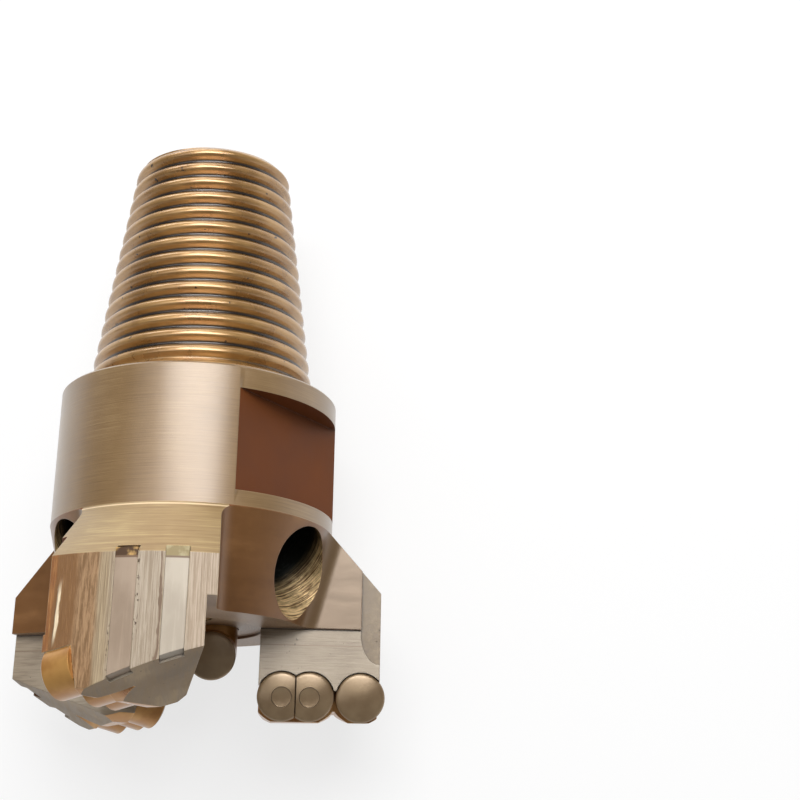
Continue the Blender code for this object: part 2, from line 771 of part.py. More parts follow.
def make_cutters(coll, tools):
    """The row of three on each wing, and the two studs in the middle."""
    rho = cutter_rhos()
    made = []
    for k in range(WINGS):
        made.append(make_cutter(f"cutter_{k + 1}_outer", rho["outer"], k, False, 0, coll, tools))
        made.append(make_cutter(f"cutter_{k + 1}_middle", rho["middle"], k, True, 1, coll, tools))
        made.append(make_cutter(f"cutter_{k + 1}_inner", rho["inner"], k, True, -1, coll, tools))
    made.append(make_stud("centre_cutter_1", STUD_A, coll))
    made.append(make_stud("centre_cutter_2", STUD_B, coll))
    return made


def main():
    clear_scene()
    parts = make_collection(PART)
    tools = make_collection("cutting_tools")
    gold = make_material("gold_paint", (0.55, 0.40, 0.22), 0.35, 0.6)
    carbide = make_material("cutter_finish", (0.42, 0.32, 0.20), 0.32, 0.5)
    grey = make_material("bar_carbide", (0.50, 0.48, 0.38), 0.5, 0.4)
    slots = []
    body = make_body(parts, tools)
    cutters = make_cutters(parts, tools)
    bars = []
    for k in range(WINGS):
        bars += make_bars(k, parts, tools, slots)
    for slot in slots:
        cut(body, slot)
    settle(body, gold)
    for ob in cutters:
        settle(ob, carbide)
    for ob in bars:
        settle(ob, grey)
    lay_down([body] + cutters + bars)


main()
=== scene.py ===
"""The drill bit's finished surface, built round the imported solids.

Its shapes come from the same sizes and steps as the solids, drawn finer. Every piece is made in the
bit's own frame, with its axis along Z and the crown up. Its mesh is then turned onto its side and
keeps the place that each point was made at as an attribute, which the materials read.
"""
import json
import bpy
import bmesh
from math import acos, asin, atan, atan2, cos, degrees, hypot, pi, radians, sin, sqrt, tan
from mathutils import Matrix, Vector

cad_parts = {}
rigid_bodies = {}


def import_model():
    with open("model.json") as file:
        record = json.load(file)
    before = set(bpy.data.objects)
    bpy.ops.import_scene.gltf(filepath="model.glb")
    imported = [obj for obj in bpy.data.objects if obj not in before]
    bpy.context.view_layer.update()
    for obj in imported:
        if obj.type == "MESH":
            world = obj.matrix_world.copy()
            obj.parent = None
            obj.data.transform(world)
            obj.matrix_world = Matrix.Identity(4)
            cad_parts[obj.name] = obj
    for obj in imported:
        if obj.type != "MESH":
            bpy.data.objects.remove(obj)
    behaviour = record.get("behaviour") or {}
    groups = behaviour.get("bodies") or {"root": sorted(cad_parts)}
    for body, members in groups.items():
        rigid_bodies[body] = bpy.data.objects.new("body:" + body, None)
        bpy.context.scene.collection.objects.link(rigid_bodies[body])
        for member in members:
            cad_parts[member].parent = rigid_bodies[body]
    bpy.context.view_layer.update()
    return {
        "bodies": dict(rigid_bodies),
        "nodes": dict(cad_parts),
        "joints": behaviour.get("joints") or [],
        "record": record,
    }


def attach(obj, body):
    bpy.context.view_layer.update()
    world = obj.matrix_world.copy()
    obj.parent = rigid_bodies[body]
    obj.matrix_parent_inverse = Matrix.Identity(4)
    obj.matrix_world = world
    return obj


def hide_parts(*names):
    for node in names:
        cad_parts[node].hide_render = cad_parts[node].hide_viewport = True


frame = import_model()

# clearance kept between every two pieces, the distance at which stray points merge, and the one at
# which a turned form's rows close up
GAP = 0.0003
MERGE = 0.000002
SEAM = 0.00001

# how far a cutting tool runs past what it cuts: a little, out past the gauge, and past everything
OVERCUT = 0.0040
OUTREACH = 0.0135
BEYOND = 0.0700

# threaded pin, measured down from the shank's shoulder to the tip
PIN_LEN = 0.0737
PIN_BASE_R = 0.0330
PIN_TIP_R = 0.0230
PIN_TIP_CHAMFER = 0.0014
PIN_SINK = 0.0010
THREAD_PITCH = 0.0050
THREAD_DEPTH = 0.0021
THREAD_FADE = 0.0050
THREAD_STEPS = 120
THREAD_ROWS = 16
THREAD_CREST = 0.22
THREAD_NARROW = 1.7

# shank with two wrench flats
SHANK_LEN = 0.0394
SHANK_R = 0.0397
SHANK_CHAMFER = 0.0006
ROUND_STEPS = 192
FLAT_HALF_ANGLE = 35.0
FLAT_AZ = 36.0
FLAT_PIN_MARGIN = 0.0064
FLAT_RING_MARGIN = 0.0047

# body under the crown: a flare out to the gauge, and the crown's flat face
FLARE_DROP = 0.0005
FLARE_LEN = 0.0163
GAUGE_R = 0.0541
CROWN_H = 0.0263
DISC_R = 0.0210
DISC_DEPTH = 0.0008
DISC_STEPS = 128

# three wings, and the junk slots between them
WINGS = 3
LEAD_S = 0.00725
TRAIL_AZ = -41.3
TRAIL_LEAN = -33.4
SLOT_FACE_R = 0.0330
SLOT_LEAD_FILLET = 0.0060
SLOT_TRAIL_FILLET = 0.0055
SLOT_RUN_LOW = 0.0012
SLOT_RUN_HIGH = 0.0015
SLOT_ARC_STEPS = 27
FILLET_STEPS = 14

# blade on each wing, above the crown's face
BLADE_LEAD_STEP = 0.00105
BLADE_INNER_RHO = 0.0206
BLADE_HEEL_S = -0.0094
BLADE_TOE_RHO = 0.0230
BLADE_TOE_S = -0.0165
BLADE_TRAIL_AZ = -38.6
BLADE_SINK = 0.0012
BLADE_TOP = 0.0243
TOP_FALL = 0.437
TOP_INWARD = 0.074
TOP_AT_ORIGIN = 0.03036

# cutters: the row of three on each wing, leaning back
CUTTER_R = 0.00672
CUTTER_LEN = 0.0080
CUTTER_RAKE = 12.0
CUTTER_OUT_RHO = 0.0487
CUTTER_MID_STEP = 0.01405
CUTTER_IN_STEP = 0.00765
CUTTER_H = 0.0185
CUTTER_S = 0.0044
CUTTER_DOME = 0.0013
CUTTER_RIM = 0.0003
CUTTER_STEPS = 72
DOME_SHARES = (0.92, 0.84, 0.74, 0.62, 0.48, 0.4)
DOME_CENTRE = 0.2
DIMPLE_R = 0.0028
DIMPLE_DEPTH = 0.0002
DIMPLE_FLOOR = 0.62
FRONT_ROOM = 0.0120

# grooves in the blade's top, beside the humps behind the cutters
GROOVE_FLOOR = 0.0028
GROOVE_HALF_W = 0.00035
GROOVE_BACK_S = -0.0300
HUMP_POWER = 1.37
HUMP_FLAT = 0.4
HUMP_STEPS = 14
FIN_DROP = 0.0020
BED_STEPS = 24

# two stud cutters in the middle of the crown
STUD_RAKE = 17.0
STUD_REACH = 0.0074
STUD_FACE_H = 0.0079
STUD_SINK = 0.0060
STUD_A = (0.0073, 0.0044, 90.0)
STUD_B = (-0.0115, -0.0012, -66.0)

# carbide bars let into each gauge pad
BAR_AZ = (-30.4, -16.9)
BAR_START_H = (0.0144, 0.0148)
BAR_W = 0.0058
BAR_DEEP = 0.0030
BAR_SHORT = 0.0007
BAR_GAP = 0.00004

# braze round the outer cutters
BRAZE_R = 0.0013
BRAZE_STEPS = 14
BRAZE_ROUND = 16
BRAZE_START = 0.06
BRAZE_SWEEP = 1.9
BRAZE_ENDS = (0.35, 0.3)
BRAZE_LUMPS = ((0.16, 1.9, 1), (0.10, 4.3, 2))
SKIN = 0.00004

# shallow step ground into each wing's leading gauge corner
CORNER_RHO = 0.0484
CORNER_DEEP = 0.00165
CORNER_BEND_H = 0.0270
CORNER_TOP_RHO = 0.0533
CORNER_TOP_H = 0.0357
CORNER_STEPS = 14

# waterways
BORE_R = 0.0127
BORE_END_H = 0.0020
BORE_TIP = 0.0040
PORT_R = 0.0112
PORT_AZ = 30.4
PORT_H = 0.0132
PORT_ANGLE = 46.0
PORT_RUN_IN = 0.0400
PORT_RUN_OUT = 0.0300
NOZZLE_R = 0.0058
NOZZLE_AT = ((0.0131, -128.0), (0.0140, 83.0))
NOZZLE_END_H = -0.0060
BORE_STEPS = 96
HOLE_STEPS = 72

# edges sharper than this stay crisp in the shading: on most pieces, and on some of them
CREASE = 35.0
PIN_CREASE = 50.0
CUTTER_CREASE = 25.0
BRAZE_CREASE = 80.0

def make_collection(name):
    coll = bpy.data.collections.new(name)
    bpy.context.scene.collection.children.link(coll)
    return coll


def add_object(name, data, coll=None):
    """A new object, in the scene itself where no collection is given."""
    ob = bpy.data.objects.new(name, data)
    (coll or bpy.context.scene.collection).objects.link(ob)
    return ob


def mesh_object(name, bm, coll):
    """An object from a bmesh, with its stray points merged and all its faces turned outward."""
    bmesh.ops.remove_doubles(bm, verts=bm.verts, dist=MERGE)
    bmesh.ops.dissolve_degenerate(bm, edges=bm.edges, dist=MERGE)
    bmesh.ops.recalc_face_normals(bm, faces=bm.faces)
    mesh = bpy.data.meshes.new(name)
    bm.to_mesh(mesh)
    bm.free()
    return add_object(name, mesh, coll)


def cut(target, tool, operation="DIFFERENCE"):
    mod = target.modifiers.new(tool.name, "BOOLEAN")
    mod.solver = "EXACT"
    mod.operation = operation
    mod.object = tool
    return mod


def turn(az_deg):
    return Matrix.Rotation(radians(az_deg), 4, "Z")


def wing_az(k):
    return 360.0 / WINGS * k


def loft(name, sections, coll):
    """A closed solid through sections that all have the same number of points."""
    bm = bmesh.new()
    rings = [[bm.verts.new(p) for p in section] for section in sections]
    n = len(rings[0])
    bm.faces.new(rings[0][::-1])
    bm.faces.new(rings[-1])
    for low, high in zip(rings, rings[1:]):
        for j in range(n):
            bm.faces.new((low[j], low[(j + 1) % n], high[(j + 1) % n], high[j]))
    return mesh_object(name, bm, coll)


def prism(name, outline, low, high, coll):
    """An outline in the XY plane, drawn at one height and extruded to another."""
    bm = bmesh.new()
    face = bm.faces.new([bm.verts.new((x, y, low)) for x, y in outline])
    raised = bmesh.ops.extrude_face_region(bm, geom=[face])["geom"]
    top = [v for v in raised if isinstance(v, bmesh.types.BMVert)]
    bmesh.ops.translate(bm, verts=top, vec=(0.0, 0.0, high - low))
    return mesh_object(name, bm, coll)


def box(name, size, centre, coll):
    bm = bmesh.new()
    place = Matrix.Translation(centre) @ Matrix.Diagonal((*size, 1.0))
    bmesh.ops.create_cube(bm, size=1.0, matrix=place)
    return mesh_object(name, bm, coll)


def rod(name, radius, start, end, steps, coll):
    """A round bar between two points."""
    start = Vector(start)
    axis = Vector(end) - start
    frame = axis.to_track_quat("Z", "Y").to_matrix().to_4x4()
    place = Matrix.Translation(start + axis / 2) @ frame
    bm = bmesh.new()
    bmesh.ops.create_cone(bm, cap_ends=True, segments=steps, radius1=radius, radius2=radius,
                          depth=axis.length, matrix=place)
    return mesh_object(name, bm, coll)


def screw_object(name, profile, steps, coll):
    """A turned solid: a half profile at +X, from top to bottom, spun once round Z."""
    mesh = bpy.data.meshes.new(name)
    mesh.from_pydata([(r, 0.0, z) for r, z in profile], [(i, i + 1) for i in range(len(profile) - 1)], [])
    ob = add_object(name, mesh, coll)
    mod = ob.modifiers.new("turned", "SCREW")
    mod.axis = "Z"
    mod.angle = 2 * pi
    mod.steps = steps
    mod.render_steps = steps
    mod.use_merge_vertices = True
    mod.merge_threshold = SEAM
    mod.use_smooth_shade = False
    return ob


def smooth_thread():
    """A rounded thread form, as places in the pitch with their depth: broad round crests, narrow roots."""
    places = [i / THREAD_ROWS for i in range(THREAD_ROWS)]
    return [(place, ((1.0 - cos(2 * pi * (place - THREAD_CREST))) / 2) ** THREAD_NARROW) for place in places]


THREAD_FORM = smooth_thread()


def thread_depth_at(turns):
    """How deep the thread is cut, from 0 to 1, at a place in its pitch."""
    place = turns % 1.0
    form = THREAD_FORM + [(THREAD_FORM[0][0] + 1.0, THREAD_FORM[0][1])]
    for (p0, d0), (p1, d1) in zip(form, form[1:]):
        if p0 <= place <= p1:
            return d0 + (d1 - d0) * (place - p0) / (p1 - p0)
    return form[0][1]


def pin_radius(z, turns):
    tip = -SHANK_LEN - PIN_LEN
    up = z - tip
    taper = PIN_TIP_R + (PIN_BASE_R - PIN_TIP_R) * min(up / PIN_LEN, 1.0)
    plain = min(max((PIN_LEN - up) / THREAD_FADE, 0.0), 1.0)
    cut_deep = THREAD_DEPTH * thread_depth_at(turns) * plain
    return min(taper - cut_deep, PIN_TIP_R - PIN_TIP_CHAMFER + up)


def make_pin(coll):
    """The tapered pin with its helical thread, as rows that climb one pitch for each turn."""
    tip = -SHANK_LEN - PIN_LEN
    base = -SHANK_LEN + PIN_SINK
    turns = int((base - tip) / THREAD_PITCH) + 2
    verts = []
    for t in range(-1, turns):
        for place, _ in THREAD_FORM:
            for j in range(THREAD_STEPS + 1):
                z = tip + THREAD_PITCH * (t + place + j / THREAD_STEPS)
                z = min(max(z, tip), base)
                r = pin_radius(z, (z - tip) / THREAD_PITCH - j / THREAD_STEPS)
                a = 2 * pi * j / THREAD_STEPS
                verts.append((r * cos(a), r * sin(a), z))
    return close_pin(verts, tip, base, coll)


def close_pin(points, tip, base, coll):
    """Joins the rows into one skin, drops what is squashed flat at the two ends, and caps them."""
    cols = THREAD_STEPS + 1
    bm = bmesh.new()
    verts = [bm.verts.new(p) for p in points]
    for m in range(len(points) // cols - 1):
        for j in range(THREAD_STEPS):
            a = m * cols + j
            bm.faces.new((verts[a], verts[a + 1], verts[a + 1 + cols], verts[a + cols]))
    bmesh.ops.remove_doubles(bm, verts=bm.verts, dist=MERGE)
    bmesh.ops.dissolve_degenerate(bm, edges=bm.edges, dist=MERGE)
    ends = [f for f in bm.faces if max(v.co.z for v in f.verts) < tip + MERGE]
    ends += [f for f in bm.faces if min(v.co.z for v in f.verts) > base - MERGE]
    bmesh.ops.delete(bm, geom=ends, context="FACES")
    bmesh.ops.holes_fill(bm, edges=[e for e in bm.edges if e.is_boundary], sides=0)
    return mesh_object("pin_form", bm, coll)


def body_profile():
    """Half section of the shank, the flare and the wings' block, top to bottom."""
    return [
        (0.0, CROWN_H + BLADE_TOP),
        (GAUGE_R, CROWN_H + BLADE_TOP),
        (GAUGE_R, FLARE_LEN - FLARE_DROP),
        (SHANK_R, -FLARE_DROP),
        (SHANK_R, -SHANK_LEN + SHANK_CHAMFER),
        (SHANK_R - SHANK_CHAMFER, -SHANK_LEN),
        (0.0, -SHANK_LEN),
    ]


def slot_radius(h):
    """Distance of a junk slot's floor from the axis; it meets the shank at the ring."""
    return SHANK_R + (SLOT_FACE_R - SHANK_R) * h / CROWN_H


def arc(centre, radius, a0, a1, steps):
    step = (a1 - a0) / steps
    return [(centre[0] + radius * cos(a0 + step * i), centre[1] + radius * sin(a0 + step * i))
            for i in range(steps + 1)]


def lead_fillet(floor_r):
    """Arc from the leading wall onto the slot's floor."""
    f = SLOT_LEAD_FILLET
    cy = LEAD_S + f
    centre = (sqrt((floor_r + f) ** 2 - cy ** 2), cy)
    return arc(centre, f, -pi / 2, atan2(centre[1], centre[0]) - pi, FILLET_STEPS)


def trail_line():
    """A point on the next wing's trailing wall, and its direction outward."""
    point = Vector((GAUGE_R * cos(radians(TRAIL_AZ)), GAUGE_R * sin(radians(TRAIL_AZ))))
    way = Vector((cos(radians(TRAIL_LEAN)), sin(radians(TRAIL_LEAN))))
    return point, way


def trail_fillet(floor_r):
    """Arc from the slot's floor onto the next wing's trailing wall, in that wing's frame."""
    f = SLOT_TRAIL_FILLET
    point, way = trail_line()
    out = Vector((way.y, -way.x))
    base = point + out * f
    b = base.dot(way)
    c = base.dot(base) - (floor_r + f) ** 2
    centre = base + way * (-b + sqrt(b * b - c))
    a0 = atan2(centre.y, centre.x) + pi
    a1 = atan2(-out.y, -out.x)
    if a1 - a0 > pi:
        a0 += 2 * pi
    if a0 - a1 > pi:
        a1 += 2 * pi
    return arc(centre, f, a0, a1, FILLET_STEPS)


def slot_outline(h):
    """One level of a junk slot, between this wing's leading wall and the next wing's trailing one."""
    floor_r = slot_radius(h)
    far = GAUGE_R + OUTREACH
    first = lead_fillet(floor_r)
    last = [turn(wing_az(1)) @ Vector((x, y, 0.0)) for x, y in trail_fillet(floor_r)]
    last = [(p.x, p.y) for p in last]
    a0 = atan2(first[-1][1], first[-1][0])
    a1 = atan2(last[0][1], last[0][0])
    floor = arc((0.0, 0.0), floor_r, a0, a1, SLOT_ARC_STEPS)[1:-1]
    point, way = trail_line()
    end = turn(wing_az(1)) @ Vector((*(point + way * (far - GAUGE_R)), 0.0))
    mid = Vector((first[-1][0] + last[0][0], first[-1][1] + last[0][1])).normalized() * (far + OUTREACH)
    return [(far, LEAD_S)] + first + floor + last + [(end.x, end.y), (mid.x, mid.y)]


def make_slot(k, coll):
    levels = (-SLOT_RUN_LOW, CROWN_H + SLOT_RUN_HIGH)
    spin = turn(wing_az(k))
    sections = [[tuple(spin @ Vector((x, y, h))) for x, y in slot_outline(h)] for h in levels]
    return loft(f"slot_{k + 1}", sections, coll)


def top_height(rho, s):
    """Height of a blade's sloping top, over the crown's face plane."""
    return CROWN_H + TOP_AT_ORIGIN + TOP_FALL * s - TOP_INWARD * rho


def blade_outline():
    edge = radians(BLADE_TRAIL_AZ)
    heel = Vector((BLADE_TOE_RHO, BLADE_TOE_S))
    outer = Vector((GAUGE_R * cos(edge), GAUGE_R * sin(edge)))
    far = outer + (outer - heel).normalized() * OUTREACH
    lead = LEAD_S - BLADE_LEAD_STEP
    return [(BLADE_INNER_RHO, lead), (BLADE_INNER_RHO, BLADE_HEEL_S), tuple(heel), tuple(far),
            (GAUGE_R + OUTREACH, far.y), (GAUGE_R + OUTREACH, lead)]


def cutter_rhos():
    mid = CUTTER_OUT_RHO - CUTTER_MID_STEP
    return {"outer": CUTTER_OUT_RHO, "middle": mid, "inner": mid - CUTTER_IN_STEP}


def cutter_frame(rho, s, h, rake):
    """Frame of a cutter's face: its X points in to the bit's axis, its Y up and its Z out of the face."""
    tilt = radians(rake)
    out = Vector((0.0, cos(tilt), sin(tilt)))
    inward = Vector((-1.0, 0.0, 0.0))
    up = out.cross(inward)
    rot = Matrix((inward, up, out)).transposed().to_4x4()
    return Matrix.Translation((rho, s, h)) @ rot


def hump_side(centre, sign):
    """One side of a hump behind a cutter, from its top down to the floor of the groove: a soft V."""
    lift = CROWN_H + CUTTER_H + GROOVE_FLOOR
    reach = CUTTER_MID_STEP / 2 - GROOVE_HALF_W
    points = []
    for i in range(HUMP_STEPS + 1):
        share = HUMP_FLAT + (1.0 - HUMP_FLAT) * i / HUMP_STEPS
        rise = (1.0 - share ** HUMP_POWER) ** (1.0 / HUMP_POWER)
        points.append((centre + sign * reach * share, lift + (CUTTER_R - GROOVE_FLOOR) * rise))
    return points


def groove_section(low, high, top):
    """Cross-section of the groove between the humps behind two cutters."""
    left = hump_side(low, 1.0)
    right = hump_side(high, -1.0)[::-1]
    return [(left[0][0], top)] + left + right + [(right[-1][0], top)]


def shoulder_section(rho, sign, far, top):
    """The waste beside the first or last hump of a row."""
    side = hump_side(rho, sign)
    return [(side[0][0], top)] + side + [(rho + sign * far, side[-1][1]), (rho + sign * far, top)]


def extrude_along_wing(name, section, s0, s1, coll):
    """A section in the reach and height plane, run along the wing's thickness."""
    return loft(name, [[(r, s, h) for r, h in section] for s in (s0, s1)], coll)


def groove_tools(coll):
    rho = cutter_rhos()
    top = CROWN_H + BLADE_TOP + OVERCUT
    reach = CUTTER_R + OVERCUT
    sections = [
        groove_section(rho["middle"], rho["outer"], top),
        shoulder_section(rho["outer"], 1.0, reach, top),
        shoulder_section(rho["inner"], -1.0, reach, top),
    ]
    return [extrude_along_wing(f"groove_{i + 1}", section, GROOVE_BACK_S, FRONT_ROOM, coll)
            for i, section in enumerate(sections)]


def bed_outline():
    """The waste over and round a wing's cutters, seen on their faces: three round beds side by side."""
    rho = cutter_rhos()
    r = CUTTER_R + GAP
    meet = acos(CUTTER_IN_STEP / 2 / r)
    fin = asin(FIN_DROP / r)
    x0 = BLADE_INNER_RHO - OVERCUT
    x1 = GAUGE_R + OUTREACH
    high = 2 * CUTTER_R
    inner = arc((rho["inner"], 0.0), r, -pi, -meet, BED_STEPS)
    middle = arc((rho["middle"], 0.0), r, meet - pi, -fin, BED_STEPS)
    outer = arc((rho["outer"], 0.0), r, fin - pi, 0.0, BED_STEPS)
    beds = [(x0, 0.0)] + inner + middle[1:] + outer + [(x1, 0.0), (x1, high), (x0, high)]
    return [(-x, y) for x, y in beds]


def bed_tool(coll):
    """Clears the cutters' beds, and what is above the plane of their axes."""
    ob = prism("cutter_beds", bed_outline(), -(CUTTER_LEN + GAP), FRONT_ROOM, coll)
    ob.matrix_world = cutter_frame(0.0, CUTTER_S, CROWN_H + CUTTER_H, CUTTER_RAKE)
    return ob


def top_plane_tool(name, drop, coll):
    """Everything above the blade's sloping top, or above a plane a little under it."""
    corners = [(0.0, -BEYOND), (BEYOND, -BEYOND), (BEYOND, BEYOND), (0.0, BEYOND)]
    low = [(x, y, top_height(x, y) - drop) for x, y in corners]
    high = [(x, y, top_height(0.0, 0.0) + BEYOND) for x, y in corners]
    return loft(name, [low, high], coll)


def make_blade(coll):
    """One wing's blade, cut to shape in the first wing's place, and still too long at the gauge."""
    low = CROWN_H - BLADE_SINK
    high = CROWN_H + BLADE_TOP + BLADE_SINK
    blade = prism("blade_form", blade_outline(), low, high, coll)
    cut(blade, top_plane_tool("top_plane", 0.0, coll))
    for tool in groove_tools(coll):
        cut(blade, tool)
    cut(blade, bed_tool(coll))
    return blade


def bake(ob):
    """The shaped mesh of an object, with its modifiers worked in."""
    bpy.context.view_layer.update()
    shaped = ob.evaluated_get(bpy.context.evaluated_depsgraph_get())
    return bpy.data.meshes.new_from_object(shaped)


def wing_copy(name, mesh, k, coll):
    ob = add_object(name, mesh, coll)
    ob.matrix_world = turn(wing_az(k))
    return ob


def flat_tool(name, az, coll):
    """The waste of one wrench flat."""
    depth = SHANK_R * (1 - cos(radians(FLAT_HALF_ANGLE)))
    low = -SHANK_LEN + FLAT_PIN_MARGIN
    high = -FLAT_RING_MARGIN
    size = (depth + OVERCUT, 2 * (SHANK_R + OVERCUT), high - low)
    ob = box(name, size, (SHANK_R - depth + size[0] / 2, 0.0, (low + high) / 2), coll)
    ob.matrix_world = turn(az)
    return ob


def port_line(k):
    """Where a port leaves its slot's floor, and its way outward."""
    az = radians(PORT_AZ + wing_az(k))
    way = radians(PORT_ANGLE)
    r = slot_radius(PORT_H)
    point = Vector((r * cos(az), r * sin(az), PORT_H))
    out = Vector((sin(way) * cos(az), sin(way) * sin(az), cos(way)))
    return point, out


def port_tool(k, coll):
    point, out = port_line(k)
    start = point - out * PORT_RUN_IN
    end = point + out * PORT_RUN_OUT
    return rod(f"port_{k + 1}", PORT_R, start, end, HOLE_STEPS, coll)


def bore_tool(coll):
    mouth = -SHANK_LEN - PIN_LEN - OVERCUT
    profile = [(0.0, BORE_END_H + BORE_TIP), (BORE_R, BORE_END_H), (BORE_R, mouth), (0.0, mouth)]
    return screw_object("bore", profile, BORE_STEPS, coll)


def nozzle_tool(i, coll):
    r, az = NOZZLE_AT[i]
    x = r * cos(radians(az))
    y = r * sin(radians(az))
    start = (x, y, NOZZLE_END_H)
    end = (x, y, CROWN_H + OVERCUT)
    return rod(f"nozzle_{i + 1}", NOZZLE_R, start, end, HOLE_STEPS, coll)


def bar_box(name, az, grow, low, high, coll):
    """A bar let into the gauge pad, or its slot when it is grown by the clearance."""
    outer = GAUGE_R + OVERCUT
    inner = GAUGE_R - BAR_DEEP - grow
    size = (outer - inner, BAR_W + 2 * grow, high - low)
    ob = box(name, size, ((outer + inner) / 2, 0.0, (low + high) / 2), coll)
    ob.matrix_world = turn(az)
    return ob


def corner_tool(k, coll):
    """The step in a wing's leading gauge corner."""
    far = GAUGE_R + OUTREACH
    section = [(CORNER_RHO, 0.0), (CORNER_RHO, CORNER_BEND_H)]
    for i in range(1, CORNER_STEPS + 1):
        a = pi / 2 * i / CORNER_STEPS
        section.append((CORNER_RHO + (CORNER_TOP_RHO - CORNER_RHO) * (1 - cos(a)),
                        CORNER_BEND_H + (CORNER_TOP_H - CORNER_BEND_H) * sin(a)))
    section += [(far, CORNER_TOP_H), (far, 0.0)]
    ob = extrude_along_wing(f"corner_{k + 1}", section, LEAD_S - CORNER_DEEP, LEAD_S + OVERCUT, coll)
    ob.matrix_world = turn(wing_az(k))
    return ob


def stud_sections(place, grow):
    """Sections of a bent stud: from its foot up to the mitre of its two ways, and out to its face."""
    x, y, az = place
    r = CUTTER_R + grow
    rake = radians(STUD_RAKE)
    face = Vector((0.0, 0.0, CROWN_H + STUD_FACE_H))
    out = Vector((cos(rake), 0.0, sin(rake)))
    knee = Vector((-STUD_REACH, 0.0, face.z - STUD_REACH * tan(rake)))
    foot = knee.z - (CROWN_H - DISC_DEPTH - STUD_SINK - grow)
    spin = Matrix.Translation((x, y, 0.0)) @ turn(az)
    side = Vector((0.0, 1.0, 0.0))
    up_post = Vector((-1.0, 0.0, 0.0))
    up_face = out.cross(side)
    mitre = (out + Vector((0.0, 0.0, 1.0))).normalized()
    rings = [[], [], []]
    for i in range(CUTTER_STEPS):
        a = 2 * pi * i / CUTTER_STEPS
        post = side * (r * cos(a)) + up_post * (r * sin(a))
        rings[0].append(spin @ (knee + post - Vector((0.0, 0.0, foot))))
        lift = -post.dot(mitre) / mitre.z
        rings[1].append(spin @ (knee + post + Vector((0.0, 0.0, lift))))
        rings[2].append(spin @ (face + side * (r * cos(a)) + up_face * (r * sin(a))))
    return rings, spin, face, out


def face_rings(dimple):
    """Rings of a cutter's face, from its rim inward: share of the radius, and height."""
    rings = [(1.0 - CUTTER_RIM / CUTTER_R, CUTTER_RIM)]
    for share in DOME_SHARES:
        rings.append((share, CUTTER_RIM + (CUTTER_DOME - CUTTER_RIM) * (1 - share ** 2)))
    if dimple:
        edge = DIMPLE_R / CUTTER_R
        top = CUTTER_RIM + (CUTTER_DOME - CUTTER_RIM) * (1 - edge ** 2)
        rings += [(edge, top), (edge * DIMPLE_FLOOR, top - DIMPLE_DEPTH)]
    else:
        rings.append((DOME_CENTRE, CUTTER_DOME))
    return rings


def make_bars(k, coll, tools, slots):
    """The two carbide bars of a wing, flush with its gauge pad and a little short of its sloping top."""
    made = []
    high = CROWN_H + BLADE_TOP
    for letter, rel, low in zip("ab", BAR_AZ, BAR_START_H):
        az = wing_az(k) + rel
        bar = bar_box(f"gauge_bar_{k + 1}{letter}", az, 0.0, low, high, coll)
        cut(bar, bpy.data.objects["bar_round"], "INTERSECT")
        cut(bar, bpy.data.objects[f"bar_top_{k + 1}"])
        slot_low = min(BAR_START_H) - GAP
        slot = bar_box(f"bar_slot_{k + 1}{letter}", az, BAR_GAP, slot_low, high + OVERCUT, tools)
        slots.append(slot)
        made.append(bar)
    return made


def bar_envelope(coll):
    """The tools that trim the bars flush with the round gauge and short of the blades' tops."""
    high = CROWN_H + BLADE_TOP + OVERCUT
    profile = [(0.0, high), (GAUGE_R, high), (GAUGE_R, 0.0), (0.0, 0.0)]
    screw_object("bar_round", profile, ROUND_STEPS, coll)
    plane = top_plane_tool("bar_top", BAR_SHORT, coll).data
    for k in range(WINGS):
        wing_copy(f"bar_top_{k + 1}", plane, k, coll)


def disc_tool(coll):
    """The shallow round recess in the crown's face."""
    low = (0, 0, CROWN_H - DISC_DEPTH)
    return rod("disc_recess", DISC_R, low, (0, 0, CROWN_H + DISC_DEPTH), DISC_STEPS, coll)


def resting_pose():
    """Turns the bit's own frame onto its side: it rests on two wings and on the shank's rim."""
    lead = degrees(asin((LEAD_S - CORNER_DEEP) / GAUGE_R))
    up_az = radians(wing_az(1) + (lead + TRAIL_AZ) / 2)
    half_gap = radians((360.0 / WINGS - (lead - TRAIL_AZ)) / 2)
    pad_drop = GAUGE_R * cos(half_gap)
    tilt = atan((pad_drop - SHANK_R) / (SHANK_LEN - SHANK_CHAMFER + FLARE_LEN - FLARE_DROP))
    lay = Matrix(((sin(up_az), -cos(up_az), 0.0), (0.0, 0.0, -1.0), (cos(up_az), sin(up_az), 0.0)))
    return Matrix.Rotation(-tilt, 4, "X") @ lay.to_4x4()


# placement of the laid-down bit: how far its frame moves after it is turned
LAID_AT = (-0.000678, -0.030184, 0.042312)

# camera, from the photograph: place, turned axes, and lens on a 36 mm sensor
CAMERA_AT = (0.114231, -0.094158, 0.440090)
CAMERA_AXES = ((0.990604, 0.029182, 0.133613),
               (0.004830, 0.968894, -0.247428),
               (-0.136676, 0.245749, 0.959650))
CAMERA_LENS = 65.10
CAMERA_SENSOR = 36.0
CAMERA_CLIP = 0.01

# lamps: name, place, size and power; and the world's light by height, bright low down and dim overhead
LAMPS = (
    ("window", (0.20, 0.44, 0.92), (0.80, 0.50), 10.4),
    ("ceiling", (-0.35, 0.12, 1.05), (0.8, 0.8), 2.2),
    ("pin_side", (-0.25, 1.00, 0.32), (0.9, 0.35), 4.0),
)
WORLD_LEVELS = ((0.05, 0.45), (0.55, 0.16))

# floor: how much of its white is its own, while the rest keeps the shadow; its half size, its drop, and
# its grey and roughness
FLOOR_GLOW = 0.75
FLOOR_HALF = 40.0
FLOOR_DROP = 0.0002
FLOOR_GREY = 0.86
FLOOR_ROUGH = 0.8

# pads: where their weld bead, their thin seam and their two rows of pits lie, in degrees round the bit
BEAD_AZ = 2.4
SEAM_AZ = -26.6
PIT_AZ = (-13.8, -20.4)

